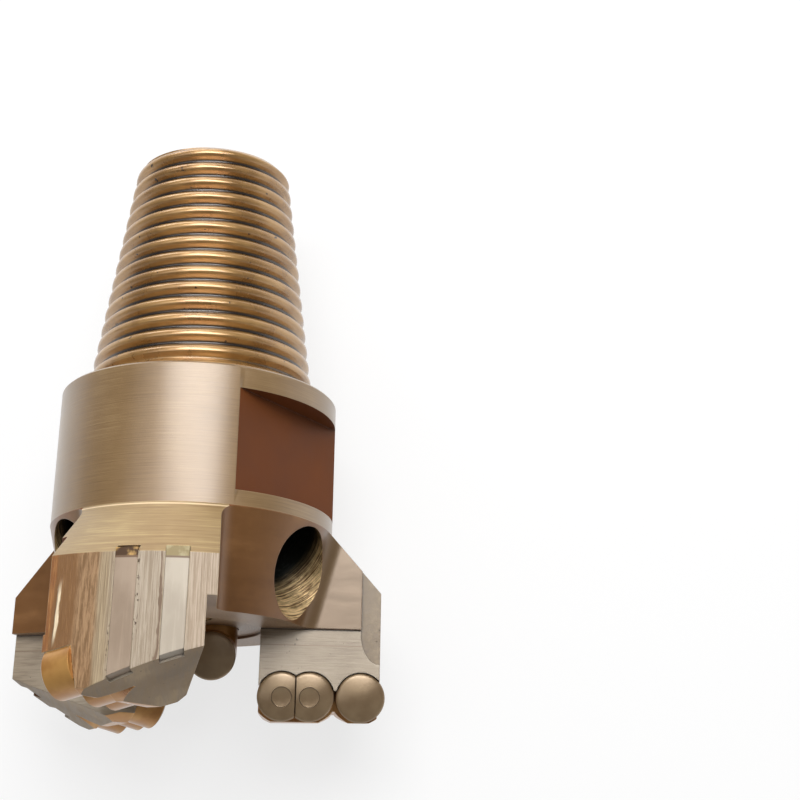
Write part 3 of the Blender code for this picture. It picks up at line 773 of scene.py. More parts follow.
# bars: height of the seam under the short block at their pin end
BAR_BLOCK_H = 0.0172

# radius to which the shading rounds an edge, and how strongly the edge is painted pale, as wear and as
# painted highlight
EDGE_R = 0.0004
FINE_EDGE_R = 0.0003
EDGE_WEAR_GLINT = 2.0

# samples of the nodes that look round a point
EDGE_SAMPLES = 6
CREVICE_SAMPLES = 8

# sockets of the Mix node for colours, whose names it also gives to those for plain numbers
MIX_A, MIX_B, MIX_OUT = 6, 7, 2

# finishes of the body's faces, in the order of its material slots
BODY_ZONES = ("shank", "flat", "flare", "pad", "slot", "face", "crown", "top", "hump", "hole", "groove",
              "inset")

# how near a face lies to the form that it belongs to, and how squarely it looks its form's way
NEAR = 0.0004
SQUARE = 0.98
OUTWARD = 0.9

# how near a hole's wall a point lies, and the depth stored where there is no hole, and in the bore, which
# puts the whole bore in painted shade
ON_WALL = 0.0002
NO_HOLE = 0.02
IN_BORE = 0.03

# how far a wing's middle lies behind its own azimuth
WING_BEHIND = 17.0




class Graph:
    """Short calls for the nodes of a material or a world."""

    def __init__(self, tree):
        self.tree = tree
        self.place = None

    def link(self, value, socket):
        if isinstance(value, bpy.types.NodeSocket):
            self.tree.links.new(value, socket)
        else:
            socket.default_value = value

    def node(self, kind, inputs=(), operation=None):
        """A new node, with a value or a link for each input that is given by its name or in order."""
        node = self.tree.nodes.new(f"ShaderNode{kind}")
        if operation:
            node.operation = operation
        for key, value in inputs.items() if isinstance(inputs, dict) else enumerate(inputs):
            self.link(value, node.inputs[key])
        return node

    def math(self, operation, a, b=0.0, clamp=False):
        node = self.node("Math", (a, b), operation)
        node.use_clamp = clamp
        return node.outputs[0]

    def times(self, a, b):
        return self.math("MULTIPLY", a, b)

    def plus(self, a, b):
        return self.math("ADD", a, b)

    def minus(self, a, b):
        return self.math("SUBTRACT", a, b)

    def apart(self, a, b):
        """How far two values are from each other."""
        return self.math("ABSOLUTE", self.minus(a, b))

    def both(self, a, b, share):
        """Two patterns as one, with this share of the first."""
        return self.plus(self.times(a, share), self.times(b, 1.0 - share))

    def scaled(self, size, vector=None):
        return self.node("VectorMath", (vector or self.place, size), "MULTIPLY").outputs[0]

    def height(self):
        """Height along the bit, 0 where its shank ends."""
        return self.node("SeparateXYZ", (self.place,)).outputs["Z"]

    def noise(self, size, detail=4.0, rough=0.55, vector=None):
        """Noise of so many cells to the metre, as one number or as one for each way."""
        cells = self.scaled(size if isinstance(size, tuple) else (size, size, size), vector)
        inputs = {"Vector": cells, "Scale": 1.0, "Detail": detail, "Roughness": rough}
        return self.node("TexNoise", inputs).outputs["Fac"]

    def band(self, value, low, high, a=0.0, b=1.0):
        """A soft step from one number to another, between two limits of a value."""
        inputs = {"Value": value, "From Min": low, "From Max": high, "To Min": a, "To Max": b}
        node = self.node("MapRange", inputs)
        node.interpolation_type = "SMOOTHSTEP"
        return node.outputs["Result"]

    def near(self, value, centre, core, edge, peak=1.0):
        """The peak at a centre and 0 past its edge."""
        return self.band(self.apart(value, centre), core, edge, peak, 0.0)

    def mix(self, share, a, b):
        node = self.node("Mix")
        node.data_type = "RGBA"
        self.link(share, node.inputs["Factor"])
        for tone, socket in ((a, MIX_A), (b, MIX_B)):
            self.link(tone if isinstance(tone, bpy.types.NodeSocket) else (*tone, 1.0), node.inputs[socket])
        return node.outputs[MIX_OUT]

    def attribute(self, name, output="Fac"):
        node = self.node("Attribute")
        node.attribute_name = name
        return node.outputs[output]

    def rounded(self, radius=EDGE_R):
        node = self.node("Bevel", {"Radius": radius})
        node.samples = EDGE_SAMPLES
        return node.outputs["Normal"]

    def bump(self, height, depth, normal=None):
        node = self.node("Bump", {"Strength": 1.0, "Distance": depth, "Height": height})
        if normal is not None:
            self.link(normal, node.inputs["Normal"])
        return node.outputs["Normal"]

    def crevice_shade(self, reach):
        """0 in the open and up to 1 in a narrow corner or gap, where shade is painted."""
        node = self.node("AmbientOcclusion", {"Distance": reach})
        node.samples = CREVICE_SAMPLES
        return self.band(node.outputs["AO"], 0.30, 0.75, 1.0, 0.0)

    def wear_and_glint(self, gain=EDGE_WEAR_GLINT):
        """1 at the piece's edges and 0 on its open faces: where edges are painted pale, as wear and as
        painted highlight.
        """
        flat = self.node("NewGeometry").outputs["Normal"]
        same = self.node("VectorMath", (self.rounded(), flat), "DOT_PRODUCT").outputs["Value"]
        return self.math("MULTIPLY", self.minus(1.0, same), gain, clamp=True)


def srgb(r, g, b):
    """A colour from its 0 to 255 screen values, as the shader's linear numbers."""
    return tuple(((c / 255 + 0.055) / 1.055) ** 2.4 for c in (r, g, b))


def start_material(name, metal, coat=0.25, coat_rough=0.3, coat_ior=1.5, spec=0.5):
    mat = bpy.data.materials.new(name)
    mat.use_nodes = True
    graph = Graph(mat.node_tree)
    graph.place = graph.attribute("made_at", "Vector")
    shader = mat.node_tree.nodes["Principled BSDF"]
    shader.inputs["Metallic"].default_value = metal
    shader.inputs["Coat Weight"].default_value = coat
    shader.inputs["Coat Roughness"].default_value = coat_rough
    shader.inputs["Coat IOR"].default_value = coat_ior
    shader.inputs["Specular IOR Level"].default_value = spec
    return mat, graph


def finish_material(mat, graph, colour, rough, normal):
    shader = mat.node_tree.nodes["Principled BSDF"]
    graph.link(colour, shader.inputs["Base Color"])
    graph.link(rough, shader.inputs["Roughness"])
    graph.link(normal, shader.inputs["Normal"])
    return mat


def paint(name, dark, mid, light, metal=0.45, rough=0.36, streak=(200.0, 200.0, 2500.0), streak_share=0.5,
          depth=0.00006, broad=60.0, pits=0.0, coat=0.5, coat_ior=1.5, lines=(), spec=0.5, near_blade=None):
    """Painted machined metal: streaked, mottled colours from the screen, fine marks, painted shade in
    corners and gaps, and edges painted pale as wear and painted highlight.
    """
    dark, mid, light = (srgb(*tone) for tone in (dark, mid, light))
    mat, g = start_material(name, metal, coat, coat_ior=coat_ior, spec=spec)
    marks = g.noise(streak, detail=5.0, rough=0.62)
    mottle = g.noise(broad, detail=3.0)
    share = g.both(marks, mottle, streak_share)
    colour = g.mix(g.band(share, 0.36, 0.5), dark, mid)
    colour = g.mix(g.band(share, 0.5, 0.66), colour, light)
    if near_blade:
        turn_at = g.attribute("wing_az")
        close = g.times(g.band(turn_at, 9.0, 26.0, 1.0, 0.0), g.band(turn_at, 0.0, 6.0))
        colour = g.mix(close, colour, srgb(*near_blade))
    # painted shade in corners and gaps: darker where the ambient occlusion is deep
    colour = g.mix(g.crevice_shade(0.0014), colour, tuple(c * 0.22 for c in dark))
    for at, half, tone in lines:
        colour = g.mix(g.near(g.height(), at, half * 0.5, half), colour, srgb(*tone))
    # edges painted pale: partly wear, partly painted highlight
    colour = g.mix(g.wear_and_glint(), colour, tuple(min(1.0, c * 1.35 + 0.04) for c in light))
    height = g.plus(marks, g.times(g.noise(3000.0, detail=2.0), 0.25))
    if pits:
        spots = g.band(g.noise(900.0, detail=1.0), 0.5 + pits, 0.56 + pits)
        height = g.minus(height, spots)
        colour = g.mix(g.times(spots, 0.7), colour, tuple(c * 0.25 for c in dark))
    roughness = g.band(marks, 0.3, 0.7, rough - 0.06, rough + 0.08)
    return finish_material(mat, g, colour, roughness, g.bump(height, depth, g.rounded()))


def make_materials():
    return {
        "shank": paint("shank_gold", (118, 89, 48), (130, 100, 58), (146, 117, 75), rough=0.42, metal=0.25,
                       streak=(60.0, 60.0, 3500.0), streak_share=0.6, coat=1.0, coat_ior=1.65),
        "flat": paint("flat_red_brown", (98, 51, 17), (104, 55, 20), (111, 60, 24), rough=0.5, metal=0.0,
                      streak=30.0, depth=0.000005, broad=30.0, coat=0.0, spec=0.15),
        "flare": paint("flare_gold", (138, 108, 63), (154, 126, 80), (176, 151, 102), rough=0.36, metal=0.4,
                       streak=(70.0, 70.0, 2600.0), streak_share=0.7, coat=0.7,
                       # the pale line where the flare meets the shank: a painted highlight on that edge
                       lines=((0.0002, 0.0003, (226, 200, 160)),)),
        # slot walls: a dark brown darker than their lit colour, standing for their shade: painted shade
        "slot": paint("slot_brown", (106, 68, 30), (117, 77, 36), (134, 92, 49), rough=0.36, metal=0.3,
                      streak=(60.0, 60.0, 300.0), streak_share=0.3, depth=0.00002, near_blade=(106, 84, 57)),
        "face": paint("blade_tan", (128, 112, 92), (150, 135, 114), (172, 158, 138), rough=0.46, metal=0.2,
                      streak=(120.0, 120.0, 2000.0), pits=0.24,
                      # the second, dark line at the foot of the face along the crown is painted shade in
                      # that crease
                      lines=((0.0309, 0.00016, (124, 102, 80)), (CROWN_H + 0.0001, 0.0003, (58, 40, 28)))),
        "inset": paint("corner_inset", (94, 76, 54), (113, 95, 70), (138, 120, 94), rough=0.5, metal=0.2,
                       streak=400.0, depth=0.0001, pits=0.2),
        "crown": crown_paint(),
        # blade tops: a little darker than their lit colour, partly painted shade
        "top": paint("blade_top", (118, 94, 60), (136, 110, 73), (162, 136, 98), rough=0.46, metal=0.1,
                     streak=(900.0, 120.0, 120.0), streak_share=0.35, pits=0.24, coat=0.1, spec=0.3),
        "hump": paint("hump_gold", (158, 104, 50), (182, 130, 70), (206, 160, 98), rough=0.32, metal=0.5,
                      streak=120.0, streak_share=0.3, depth=0.00003),
        "groove": paint("step_groove", (58, 32, 20), (84, 46, 28), (110, 66, 40), metal=0.2, coat=0.2),
        "pad": pad_paint(),
        "hole": hole_paint(),
        "pin": pin_paint(),
        "cutter": cutter_paint(),
        "bar_a": bar_paint("bar_light", srgb(166, 154, 138), srgb(180, 169, 153),
                           srgb(140, 124, 86), srgb(164, 152, 116)),
        "bar_b": bar_paint("bar_grey", srgb(146, 127, 108), srgb(162, 143, 124),
                           srgb(74, 50, 28), srgb(190, 152, 92)),
    }


def crown_paint():
    """The crown's flat face: pale, with the swirling arcs of the tool that faced it."""
    mat, g = start_material("crown_pale", 0.15, coat=0.1)
    wave = g.node("TexWave", {"Vector": g.scaled((420.0, 420.0, 0.0)), "Scale": 1.0, "Distortion": 6.0,
                              "Detail": 3.0, "Detail Scale": 1.0})
    wave.wave_type = "RINGS"
    wave.rings_direction = "Z"
    rings = wave.outputs["Fac"]
    mottle = g.noise(70.0)
    share = g.both(rings, mottle, 0.3)
    colour = g.mix(g.band(share, 0.3, 0.5), srgb(134, 104, 78), srgb(156, 126, 98))
    colour = g.mix(g.band(share, 0.5, 0.75), colour, srgb(188, 162, 134))
    # edges painted pale: partly wear, partly painted highlight
    colour = g.mix(g.wear_and_glint(2.5), colour, srgb(236, 205, 160))
    normal = g.bump(rings, 0.00005, g.rounded())
    return finish_material(mat, g, colour, g.band(mottle, 0.3, 0.7, 0.36, 0.5), normal)


def pad_paint():
    """The gauge pads: pale rough streaks along the bit, browner towards the leading edge."""
    mat, g = start_material("pad_pale", 0.2, coat=0.1, coat_rough=0.4, spec=0.4)
    turn_at = g.attribute("wing_az")
    high = g.height()
    wave = g.noise((260.0, 260.0, 60.0))
    fine = g.noise((2600.0, 2600.0, 70.0), detail=6.0, rough=0.7)
    coarse = g.noise((1300.0, 1300.0, 170.0), detail=6.0, rough=0.7)
    at = g.plus(turn_at, g.times(g.minus(wave, 0.5), 5.0))
    streaks = g.band(fine, 0.38, 0.64)
    colour = g.mix(streaks, srgb(162, 142, 120), srgb(196, 178, 158))
    for start, full, marks, dark, light in (
            (-35.0, -32.0, streaks, (150, 133, 112), (184, 169, 150)),
            (-15.0, -12.5, streaks, (142, 122, 94), (180, 160, 130)),
            (-11.0, -8.5, g.band(coarse, 0.40, 0.62), (126, 94, 60), (166, 132, 96)),
            (-5.0, -2.0, g.band(coarse, 0.5, 0.75), (130, 92, 54), (150, 112, 70)),
            (3.4, 4.4, g.band(coarse, 0.4, 0.7), (140, 90, 48), (176, 124, 72))):
        colour = g.mix(g.band(at, start, full), colour, g.mix(marks, srgb(*dark), srgb(*light)))
    colour = g.mix(g.near(at, SEAM_AZ, 0.15, 0.4), colour, srgb(120, 98, 78))
    span = g.times(g.band(high, 0.0215, 0.027), g.band(high, 0.035, 0.0395, 1.0, 0.0))
    bead = g.times(g.near(at, BEAD_AZ, 0.25, 0.8), span)
    colour = g.mix(bead, colour, srgb(240, 220, 186))
    spots = 0.0
    for centre in PIT_AZ:
        pitted = g.band(g.noise((1500.0, 1500.0, 900.0), detail=1.0), 0.56, 0.62)
        spots = g.math("MAXIMUM", spots, g.times(pitted, g.near(turn_at, centre, 0.2, 0.8)))
    spots = g.times(spots, g.band(g.noise(150.0, detail=1.0), 0.44, 0.54))
    colour = g.mix(spots, colour, srgb(80, 60, 42))
    # edges painted pale: partly wear, partly painted highlight
    colour = g.mix(g.wear_and_glint(), colour, srgb(226, 204, 166))
    height = g.plus(g.plus(fine, g.times(coarse, 0.8)), g.times(bead, 1.5))
    normal = g.bump(g.minus(height, spots), 0.00022, g.rounded())
    return finish_material(mat, g, colour, g.band(fine, 0.3, 0.7, 0.42, 0.58), normal)


def hole_paint():
    """Drilled walls: coarse tool rings along the hole, golden at the mouth and painted black-green shade
    deeper inside.
    """
    mat, g = start_material("drilled_wall", 0.6)
    deep = g.attribute("hole_depth")
    around = g.node("SeparateXYZ", (g.place,)).outputs
    along = g.node("CombineXYZ", (deep, g.times(around["X"], 0.05), g.times(around["Y"], 0.05))).outputs[0]
    ribs = g.noise(2600.0, detail=3.0, rough=0.6, vector=along)
    share = g.both(ribs, g.noise(500.0, detail=5.0, rough=0.7), 0.75)
    gold = g.mix(g.band(share, 0.40, 0.62), srgb(100, 70, 38), srgb(244, 212, 158))
    # painted shade: black-green deeper in each hole, and all through the bore
    colour = g.mix(g.band(deep, 0.003, 0.0105), gold, srgb(12, 16, 11))
    return finish_material(mat, g, colour, 0.4, g.bump(share, 0.0006, g.rounded()))


def pin_paint():
    """The threaded pin: golden crests, pale marks that stand partly for highlights, and painted shade dark
    in the thread's roots.
    """
    mat, g = start_material("pin_gold", 0.55, coat=0.8, coat_rough=0.24, coat_ior=1.8)
    marks = g.noise((70.0, 70.0, 3200.0), detail=5.0)
    mottle = g.noise(90.0)
    colour = g.mix(g.band(mottle, 0.35, 0.65), srgb(152, 110, 54), srgb(178, 136, 76))
    # pale marks round the pin: partly fine marks, partly painted highlight
    colour = g.mix(g.band(marks, 0.55, 0.8, 0.0, 0.5), colour, srgb(208, 172, 118))
    # painted shade in the thread's roots
    colour = g.mix(g.band(g.attribute("thread_deep"), 0.68, 0.96), colour, srgb(36, 23, 13))
    spots = g.band(g.noise(420.0, detail=2.0), 0.71, 0.75)
    colour = g.mix(spots, colour, srgb(50, 34, 22))
    normal = g.bump(g.plus(marks, g.times(mottle, 0.6)), 0.00006)
    return finish_material(mat, g, colour, g.band(mottle, 0.3, 0.7, 0.24, 0.36), normal)


def cutter_paint():
    """Brazed cutters: gold on their round sides, greyer brown on their ground faces."""
    mat, g = start_material("cutter_gold", 0.5, coat=0.6)
    mottle = g.noise(120.0, detail=3.0)
    grit = g.noise(2600.0, detail=2.0)
    side = g.mix(g.band(mottle, 0.35, 0.65), srgb(170, 116, 54), srgb(196, 146, 78))
    face = g.mix(g.band(mottle, 0.35, 0.65), srgb(134, 110, 81), srgb(150, 127, 97))
    colour = g.mix(g.attribute("face_share"), side, face)
    normal = g.bump(g.both(mottle, grit, 0.6), 0.00006, g.rounded(FINE_EDGE_R))
    return finish_material(mat, g, colour, g.band(mottle, 0.3, 0.7, 0.28, 0.42), normal)


def bar_paint(name, dark, light, block_dark, block):
    """Carbide bars ground flush with the pads: smoother and greyer than the weld round them."""
    mat, g = start_material(name, 0.1, coat=0.0, spec=0.3)
    fine = g.noise((1500.0, 1500.0, 60.0), detail=5.0)
    mottle = g.noise((120.0, 120.0, 60.0))
    colour = g.mix(g.band(mottle, 0.35, 0.65), dark, light)
    colour = g.mix(g.band(fine, 0.5, 0.8, 0.0, 0.4), colour, tuple(min(1.0, c * 1.25) for c in light))
    end = g.mix(g.band(g.noise(420.0, detail=2.0), 0.42, 0.6), block_dark, block)
    colour = g.mix(g.band(g.height(), BAR_BLOCK_H - 0.0004, BAR_BLOCK_H, 1.0, 0.0), colour, end)
    colour = g.mix(g.near(g.height(), BAR_BLOCK_H, 0.0001, 0.0004, 0.8), colour, srgb(96, 66, 42))
    return finish_material(mat, g, colour, 0.42, g.bump(fine, 0.00006, g.rounded(FINE_EDGE_R)))


def off_wall(point, start, way, radius):
    """How far a point is from a round hole's wall."""
    along = (point - start).dot(way)
    return abs((point - start - way * along).length - radius)


def zone_of(c, n, wing_c, wing_n):
    """The finish of a body face, from its middle and its way out, in the bit's frame and its wing's."""
    rho = hypot(c.x, c.y)
    radial = (n.x * c.x + n.y * c.y) / max(rho, 1e-9)
    if c.z < 0.0:
        if rho < BORE_R + 0.002:
            return "hole"
        on_shank = abs(rho - SHANK_R) < NEAR and radial > OUTWARD
        return "shank" if on_shank or c.z < -SHANK_LEN + SHANK_CHAMFER else "flat"
    if rho > GAUGE_R - NEAR and radial > OUTWARD:
        return "pad"
    az = atan2(c.y, c.x)
    cone = Vector((cos(az) * FLARE_LEN, sin(az) * FLARE_LEN, SHANK_R - GAUGE_R))
    if c.z < FLARE_LEN and n.dot(cone.normalized()) > SQUARE:
        return "flare"
    if n.z > SQUARE and c.z < CROWN_H + 0.0005:
        return "crown"
    top_way = Vector((TOP_INWARD, -TOP_FALL, 1.0)).normalized()
    if c.z > CROWN_H and wing_n.dot(top_way) > 0.995:
        return "top"
    if LEAD_S - CORNER_DEEP < wing_c.y < LEAD_S and rho > CORNER_RHO - NEAR and abs(wing_n.y) < 0.3:
        return "groove"
    leads = wing_n.y > SQUARE
    if leads and wing_c.y < LEAD_S - CORNER_DEEP + 0.0003 and wing_c.x > CORNER_RHO - NEAR:
        return "inset"
    if c.z > CROWN_H - 0.002 and leads or c.z > CROWN_H and abs(n.z) < 0.12 and wing_n.y < 0.2:
        return "face"
    return "hump" if c.z > CROWN_H + 0.004 else "slot"


def nearest_wing(c):
    return round((degrees(atan2(c.y, c.x)) + WING_BEHIND) / (360.0 / WINGS)) % WINGS


def hole_walls():
    """Where each port and nozzle hole starts, its way out and its radius."""
    up = Vector((0.0, 0.0, 1.0))
    return [(*port_line(k), PORT_R) for k in range(WINGS)] + [
        (Vector((r * cos(radians(az)), r * sin(radians(az)), CROWN_H)), up, NOZZLE_R) for r, az in NOZZLE_AT]


def paint_body(ob, mats):
    """Gives each face of the body its finish, and stores what the finishes read."""
    mesh = ob.data
    mesh.materials.clear()
    for name in BODY_ZONES:
        mesh.materials.append(mats[name])
    wing_az_at = mesh.attributes.new("wing_az", "FLOAT", "CORNER")
    depth_at = mesh.attributes.new("hole_depth", "FLOAT", "CORNER")
    holes = hole_walls()
    for face in mesh.polygons:
        c = face.center
        back = turn(-wing_az(nearest_wing(c))).to_3x3()
        zone = zone_of(c, face.normal, back @ c, back @ face.normal)
        found = None
        ends = [mesh.vertices[face.vertices[i]].co for i in (0, 1)]
        for start, way, radius in holes:
            on_wall = max(off_wall(end, start, way, radius) for end in ends) < ON_WALL
            if on_wall and abs(face.normal.dot(way)) < 0.05:
                found = (start, way)
        if found:
            zone = "hole"
        face.material_index = BODY_ZONES.index(zone)
        for loop in face.loop_indices:
            p = mesh.vertices[mesh.loops[loop].vertex_index].co
            q = back @ p
            wing_az_at.data[loop].value = degrees(atan2(q.y, q.x))
            deep = IN_BORE if zone == "hole" else NO_HOLE
            depth_at.data[loop].value = -(p - found[0]).dot(found[1]) if found else deep


def settle(ob, smooth=CREASE):
    """Works an object's modifiers into its mesh, and shades it smooth up to its crisp edges."""
    mesh = bake(ob)
    ob.modifiers.clear()
    ob.data = mesh
    mesh.shade_smooth()
    mesh.set_sharp_from_angle(angle=radians(smooth))
    mod = ob.modifiers.new("even_shading", "WEIGHTED_NORMAL")
    mod.keep_sharp = True
    return ob


def lay(ob):
    """Turns a piece onto its side with the rest of the bit; its finish keeps the place it was made at."""
    mesh = ob.data
    made_at = mesh.attributes.new("made_at", "FLOAT_VECTOR", "POINT")
    made_at.data.foreach_set("vector", [n for v in mesh.vertices for n in v.co])
    mesh.transform(Matrix.Translation(LAID_AT) @ resting_pose() @ ob.matrix_world)
    ob.matrix_world = Matrix()


def dress(ob, material):
    ob.data.materials.clear()
    ob.data.materials.append(material)
    return ob


def make_shell(coll, tools):
    """The body without its pin, as the solids have it."""
    blade_mesh = bake(make_blade(tools))
    low = (0, 0, CROWN_H)
    high = (0, 0, CROWN_H + BLADE_TOP + OVERCUT)
    waste = rod("crown_waste", GAUGE_R + OVERCUT, low, high, ROUND_STEPS, tools)
    for k in range(WINGS):
        cut(waste, wing_copy(f"blade_{k + 1}", blade_mesh, k, tools))
    bar_envelope(tools)
    body = screw_object("bit_shell", body_profile(), ROUND_STEPS, coll)
    cut(body, waste)
    for k in range(WINGS):
        cut(body, make_slot(k, tools))
    cut(body, disc_tool(tools))
    for i in range(2):
        cut(body, flat_tool(f"wrench_flat_{i + 1}", FLAT_AZ + 180.0 * i, tools))
    cut(body, bore_tool(tools))
    for k in range(WINGS):
        cut(body, port_tool(k, tools))
        cut(body, corner_tool(k, tools))
    for i in range(len(NOZZLE_AT)):
        cut(body, nozzle_tool(i, tools))
    for i, place in enumerate((STUD_A, STUD_B)):
        foot = stud_sections(place, GAP)[0][0]
        rim = [(p.x, p.y, CROWN_H + OVERCUT) for p in foot]
        cut(body, loft(f"stud_hole_{i + 1}", [foot, rim], tools))
    return body


def make_cutter(name, rho, k, dimple, trim, coll, tools):
    """A short turned bar with a domed face, trimmed where it meets its neighbour."""
    profile = [(CUTTER_R * share, lift) for share, lift in face_rings(dimple)][::-1]
    profile.insert(0, (0.0, profile[0][1]))
    profile += [(CUTTER_R, 0.0), (CUTTER_R, -CUTTER_LEN), (0.0, -CUTTER_LEN)]
    ob = screw_object(name, profile, CUTTER_STEPS, coll)
    place = turn(wing_az(k)) @ cutter_frame(rho, CUTTER_S, CROWN_H + CUTTER_H, CUTTER_RAKE)
    ob.matrix_world = place
    if trim:
        near = CUTTER_IN_STEP / 2 - GAP / 2
        size = (CUTTER_R, 4 * CUTTER_R, 4 * CUTTER_LEN)
        tool = box(f"trim_{name}", size, (trim * (near + CUTTER_R / 2), 0.0, 0.0), tools)
        tool.matrix_world = place
        cut(ob, tool)
    return ob


def make_stud(name, place, coll):
    rings, spin, face, out = stud_sections(place, 0.0)
    centre = spin @ face
    axis = (spin.to_3x3() @ out).normalized()
    sections = list(rings)
    for share, lift in face_rings(False):
        sections.append([centre + (p - centre) * share + axis * lift for p in rings[2]])
    return loft(name, sections, coll), centre, axis


def pocket_edge(back, angle):
    """A point on the outer cutter's pocket, so far behind its face, in the wing's frame."""
    frame_at = cutter_frame(CUTTER_OUT_RHO, CUTTER_S, CROWN_H + CUTTER_H, CUTTER_RAKE)
    r = CUTTER_R + GAP
    return frame_at @ Vector((r * cos(angle), r * sin(angle), -back))


def braze_run(k, coll):
    """Lumpy braze along the pin-side and hind edges of a wing's outer cutter pocket."""
    reach = acos((GAUGE_R - CUTTER_OUT_RHO) / (CUTTER_R + GAP))
    hind = CUTTER_LEN + GAP
    low = pi + reach
    shares = [i / BRAZE_STEPS for i in range(BRAZE_STEPS)]
    route = [pocket_edge(hind * (BRAZE_START + (1.0 - BRAZE_START) * share), low) for share in shares]
    route += [pocket_edge(hind, low - BRAZE_SWEEP * reach * share) for share in shares]
    rings = []
    for i, centre in enumerate(route):
        way = (route[min(i + 1, len(route) - 1)] - route[max(i - 1, 0)]).normalized()
        side = way.orthogonal().normalized()
        over = way.cross(side)
        end = min(1.0, BRAZE_ENDS[0] + BRAZE_ENDS[1] * min(i, len(route) - 1 - i))
        lumps = (high * sin(step * i + shift * k) for high, step, shift in BRAZE_LUMPS)
        swell = BRAZE_R * end * sum(lumps, 1.0)
        ring = []
        for j in range(BRAZE_ROUND):
            a = 2 * pi * j / BRAZE_ROUND
            p = centre + (side * cos(a) + over * sin(a)) * swell
            inside = min(1.0, (GAUGE_R - SKIN) / hypot(p.x, p.y))
            ring.append(turn(wing_az(k)) @ Vector((p.x * inside, p.y * inside, p.z)))
        rings.append(ring)
    return loft(f"braze_{k + 1}", rings, coll)


def mark_face(ob, centre, axis):
    """Stores how much each corner belongs to a cutter's ground face."""
    mesh = ob.data
    share = mesh.attributes.new("face_share", "FLOAT", "CORNER")
    for face in mesh.polygons:
        front = 1.0 if face.normal.dot(axis) > 0.5 and (face.center - centre).dot(axis) > -0.0002 else 0.0
        for loop in face.loop_indices:
            share.data[loop].value = front


def mark_thread(ob):
    """Stores how deep each point of the pin lies under the taper of its crests."""
    mesh = ob.data
    deep = mesh.attributes.new("thread_deep", "FLOAT", "POINT")
    tip = -SHANK_LEN - PIN_LEN
    for i, v in enumerate(mesh.vertices):
        up = v.co.z - tip
        taper = PIN_TIP_R + (PIN_BASE_R - PIN_TIP_R) * min(up / PIN_LEN, 1.0)
        under = (taper - hypot(v.co.x, v.co.y)) / THREAD_DEPTH
        deep.data[i].value = under if 0.002 < up else 0.0


def make_pieces():
    """Every piece of the bit, in its own frame, with the CAD node that it stands for."""
    coll = make_collection("bit")
    tools = make_collection("cutting_tools")
    mats = make_materials()
    shell = make_shell(coll, tools)
    slots = []
    bars = []
    for k in range(WINGS):
        bars += make_bars(k, coll, tools, slots)
    for slot in slots:
        cut(shell, slot)
    settle(shell)
    paint_body(shell, mats)

    pin = make_pin(coll)
    pin.name = "bit_pin"
    cut(pin, bpy.data.objects["bore"])
    settle(pin, PIN_CREASE)
    mark_thread(pin)
    made = [(shell, "bit_body", "body"), (dress(pin, mats["pin"]), "bit_body", "body")]

    rho = cutter_rhos()
    for k in range(WINGS):
        for word, dimple, trim in (("outer", False, 0), ("middle", True, 1), ("inner", True, -1)):
            ob = make_cutter(f"cut_{k + 1}_{word}", rho[word], k, dimple, trim, coll, tools)
            settle(ob, CUTTER_CREASE)
            mark_face(ob, Vector(), Vector((0.0, 0.0, 1.0)))
            made.append((dress(ob, mats["cutter"]), f"cutter_{k + 1}_{word}", "cutter"))
    for k in range(WINGS):
        made.append((dress(settle(braze_run(k, coll), BRAZE_CREASE), mats["hump"]), None, "body"))
    for i, place in enumerate((STUD_A, STUD_B)):
        ob, centre, axis = make_stud(f"stud_{i + 1}", place, coll)
        settle(ob, CUTTER_CREASE)
        mark_face(ob, centre, axis)
        made.append((dress(ob, mats["cutter"]), f"centre_cutter_{i + 1}", "cutter"))
    for ob in bars:
        node = ob.name.split(".")[0]
        finish = mats["bar_a" if node.endswith("a") else "bar_b"]
        made.append((dress(settle(ob), finish), node, "gauge_bar"))
    for ob in list(tools.objects):
        bpy.data.objects.remove(ob)
    return made


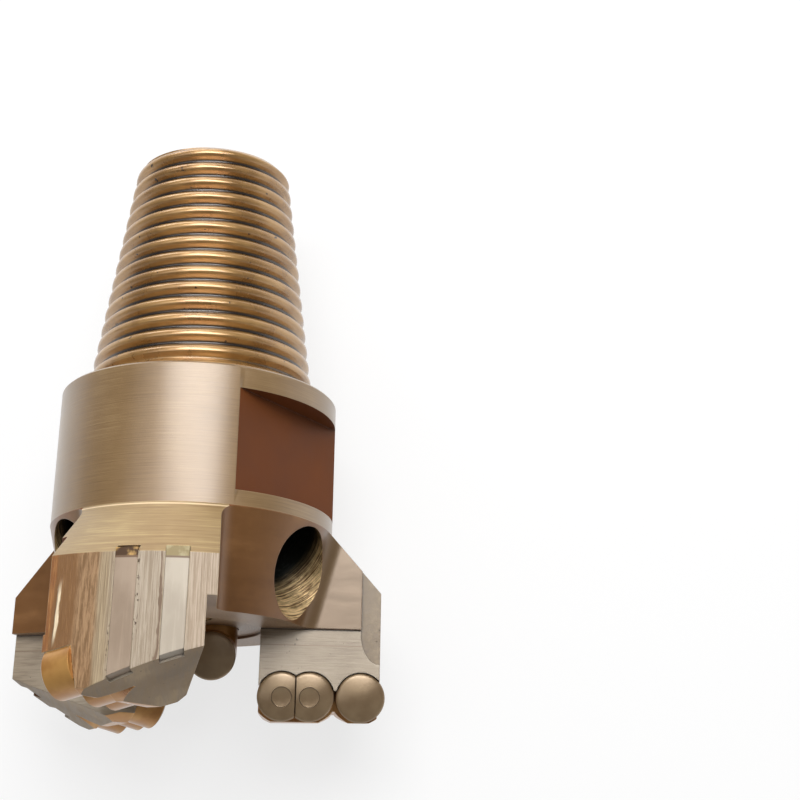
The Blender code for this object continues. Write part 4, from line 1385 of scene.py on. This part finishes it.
def floor_paint():
    """White, in part by its own glow to the camera and in reflections. The lit part keeps a shadow."""
    mat = bpy.data.materials.new("floor_white")
    mat.use_nodes = True
    g = Graph(mat.node_tree)
    shader = g.tree.nodes["Principled BSDF"]
    shader.inputs["Base Color"].default_value = (FLOOR_GREY, FLOOR_GREY, FLOOR_GREY, 1.0)
    shader.inputs["Roughness"].default_value = FLOOR_ROUGH
    seen = g.node("LightPath").outputs
    either = g.math("MAXIMUM", seen["Is Camera Ray"], seen["Is Glossy Ray"])
    clear = g.math("MAXIMUM", either, seen["Is Transmission Ray"])
    glow = g.node("Emission").outputs[0]
    blend = g.node("MixShader", (g.times(clear, FLOOR_GLOW), shader.outputs[0], glow))
    g.link(blend.outputs[0], g.tree.nodes["Material Output"].inputs["Surface"])
    return mat


def make_world():
    """The world's light, which falls off with height."""
    world = bpy.data.worlds.new("studio")
    world.use_nodes = True
    g = Graph(world.node_tree)
    way = g.node("TexCoord").outputs["Generated"]
    ramp = g.node("ValToRGB", (g.node("SeparateXYZ", (way,)).outputs["Z"],))
    g.link(ramp.outputs[0], g.tree.nodes["Background"].inputs["Color"])
    for stop, (at, level) in zip(ramp.color_ramp.elements, WORLD_LEVELS):
        stop.position = at
        stop.color = (level, level, level, 1.0)
    bpy.context.scene.world = world


def make_stage():
    """A pale floor, three soft lamps with the main one on the pin's side, and the world."""
    bm = bmesh.new()
    bmesh.ops.create_grid(bm, x_segments=1, y_segments=1, size=FLOOR_HALF)
    mesh = bpy.data.meshes.new("floor")
    bm.to_mesh(mesh)
    bm.free()
    floor = add_object("floor", mesh)
    floor.location = (0.0, 0.0, -FLOOR_DROP)
    mesh.materials.append(floor_paint())
    make_world()
    for name, place, size, power in LAMPS:
        lamp = bpy.data.lights.new(name, "AREA")
        lamp.shape = "RECTANGLE"
        lamp.size, lamp.size_y = size
        lamp.energy = power
        ob = add_object(name, lamp)
        ob.location = place
        ob.rotation_mode = "QUATERNION"
        ob.rotation_quaternion = Vector(place).to_track_quat("Z", "Y")


def make_camera():
    camera = bpy.data.cameras.new("photo_camera")
    camera.lens = CAMERA_LENS
    camera.sensor_width = CAMERA_SENSOR
    camera.clip_start = CAMERA_CLIP
    ob = add_object("photo_camera", camera)
    ob.matrix_world = Matrix.Translation(CAMERA_AT) @ Matrix(CAMERA_AXES).to_4x4()
    bpy.context.scene.camera = ob


make_camera()
make_stage()
for piece, node, slot_name in make_pieces():
    lay(piece)
    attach(piece, "root")
    if node:
        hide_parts(node)
bpy.context.scene.view_settings.view_transform = "Standard"
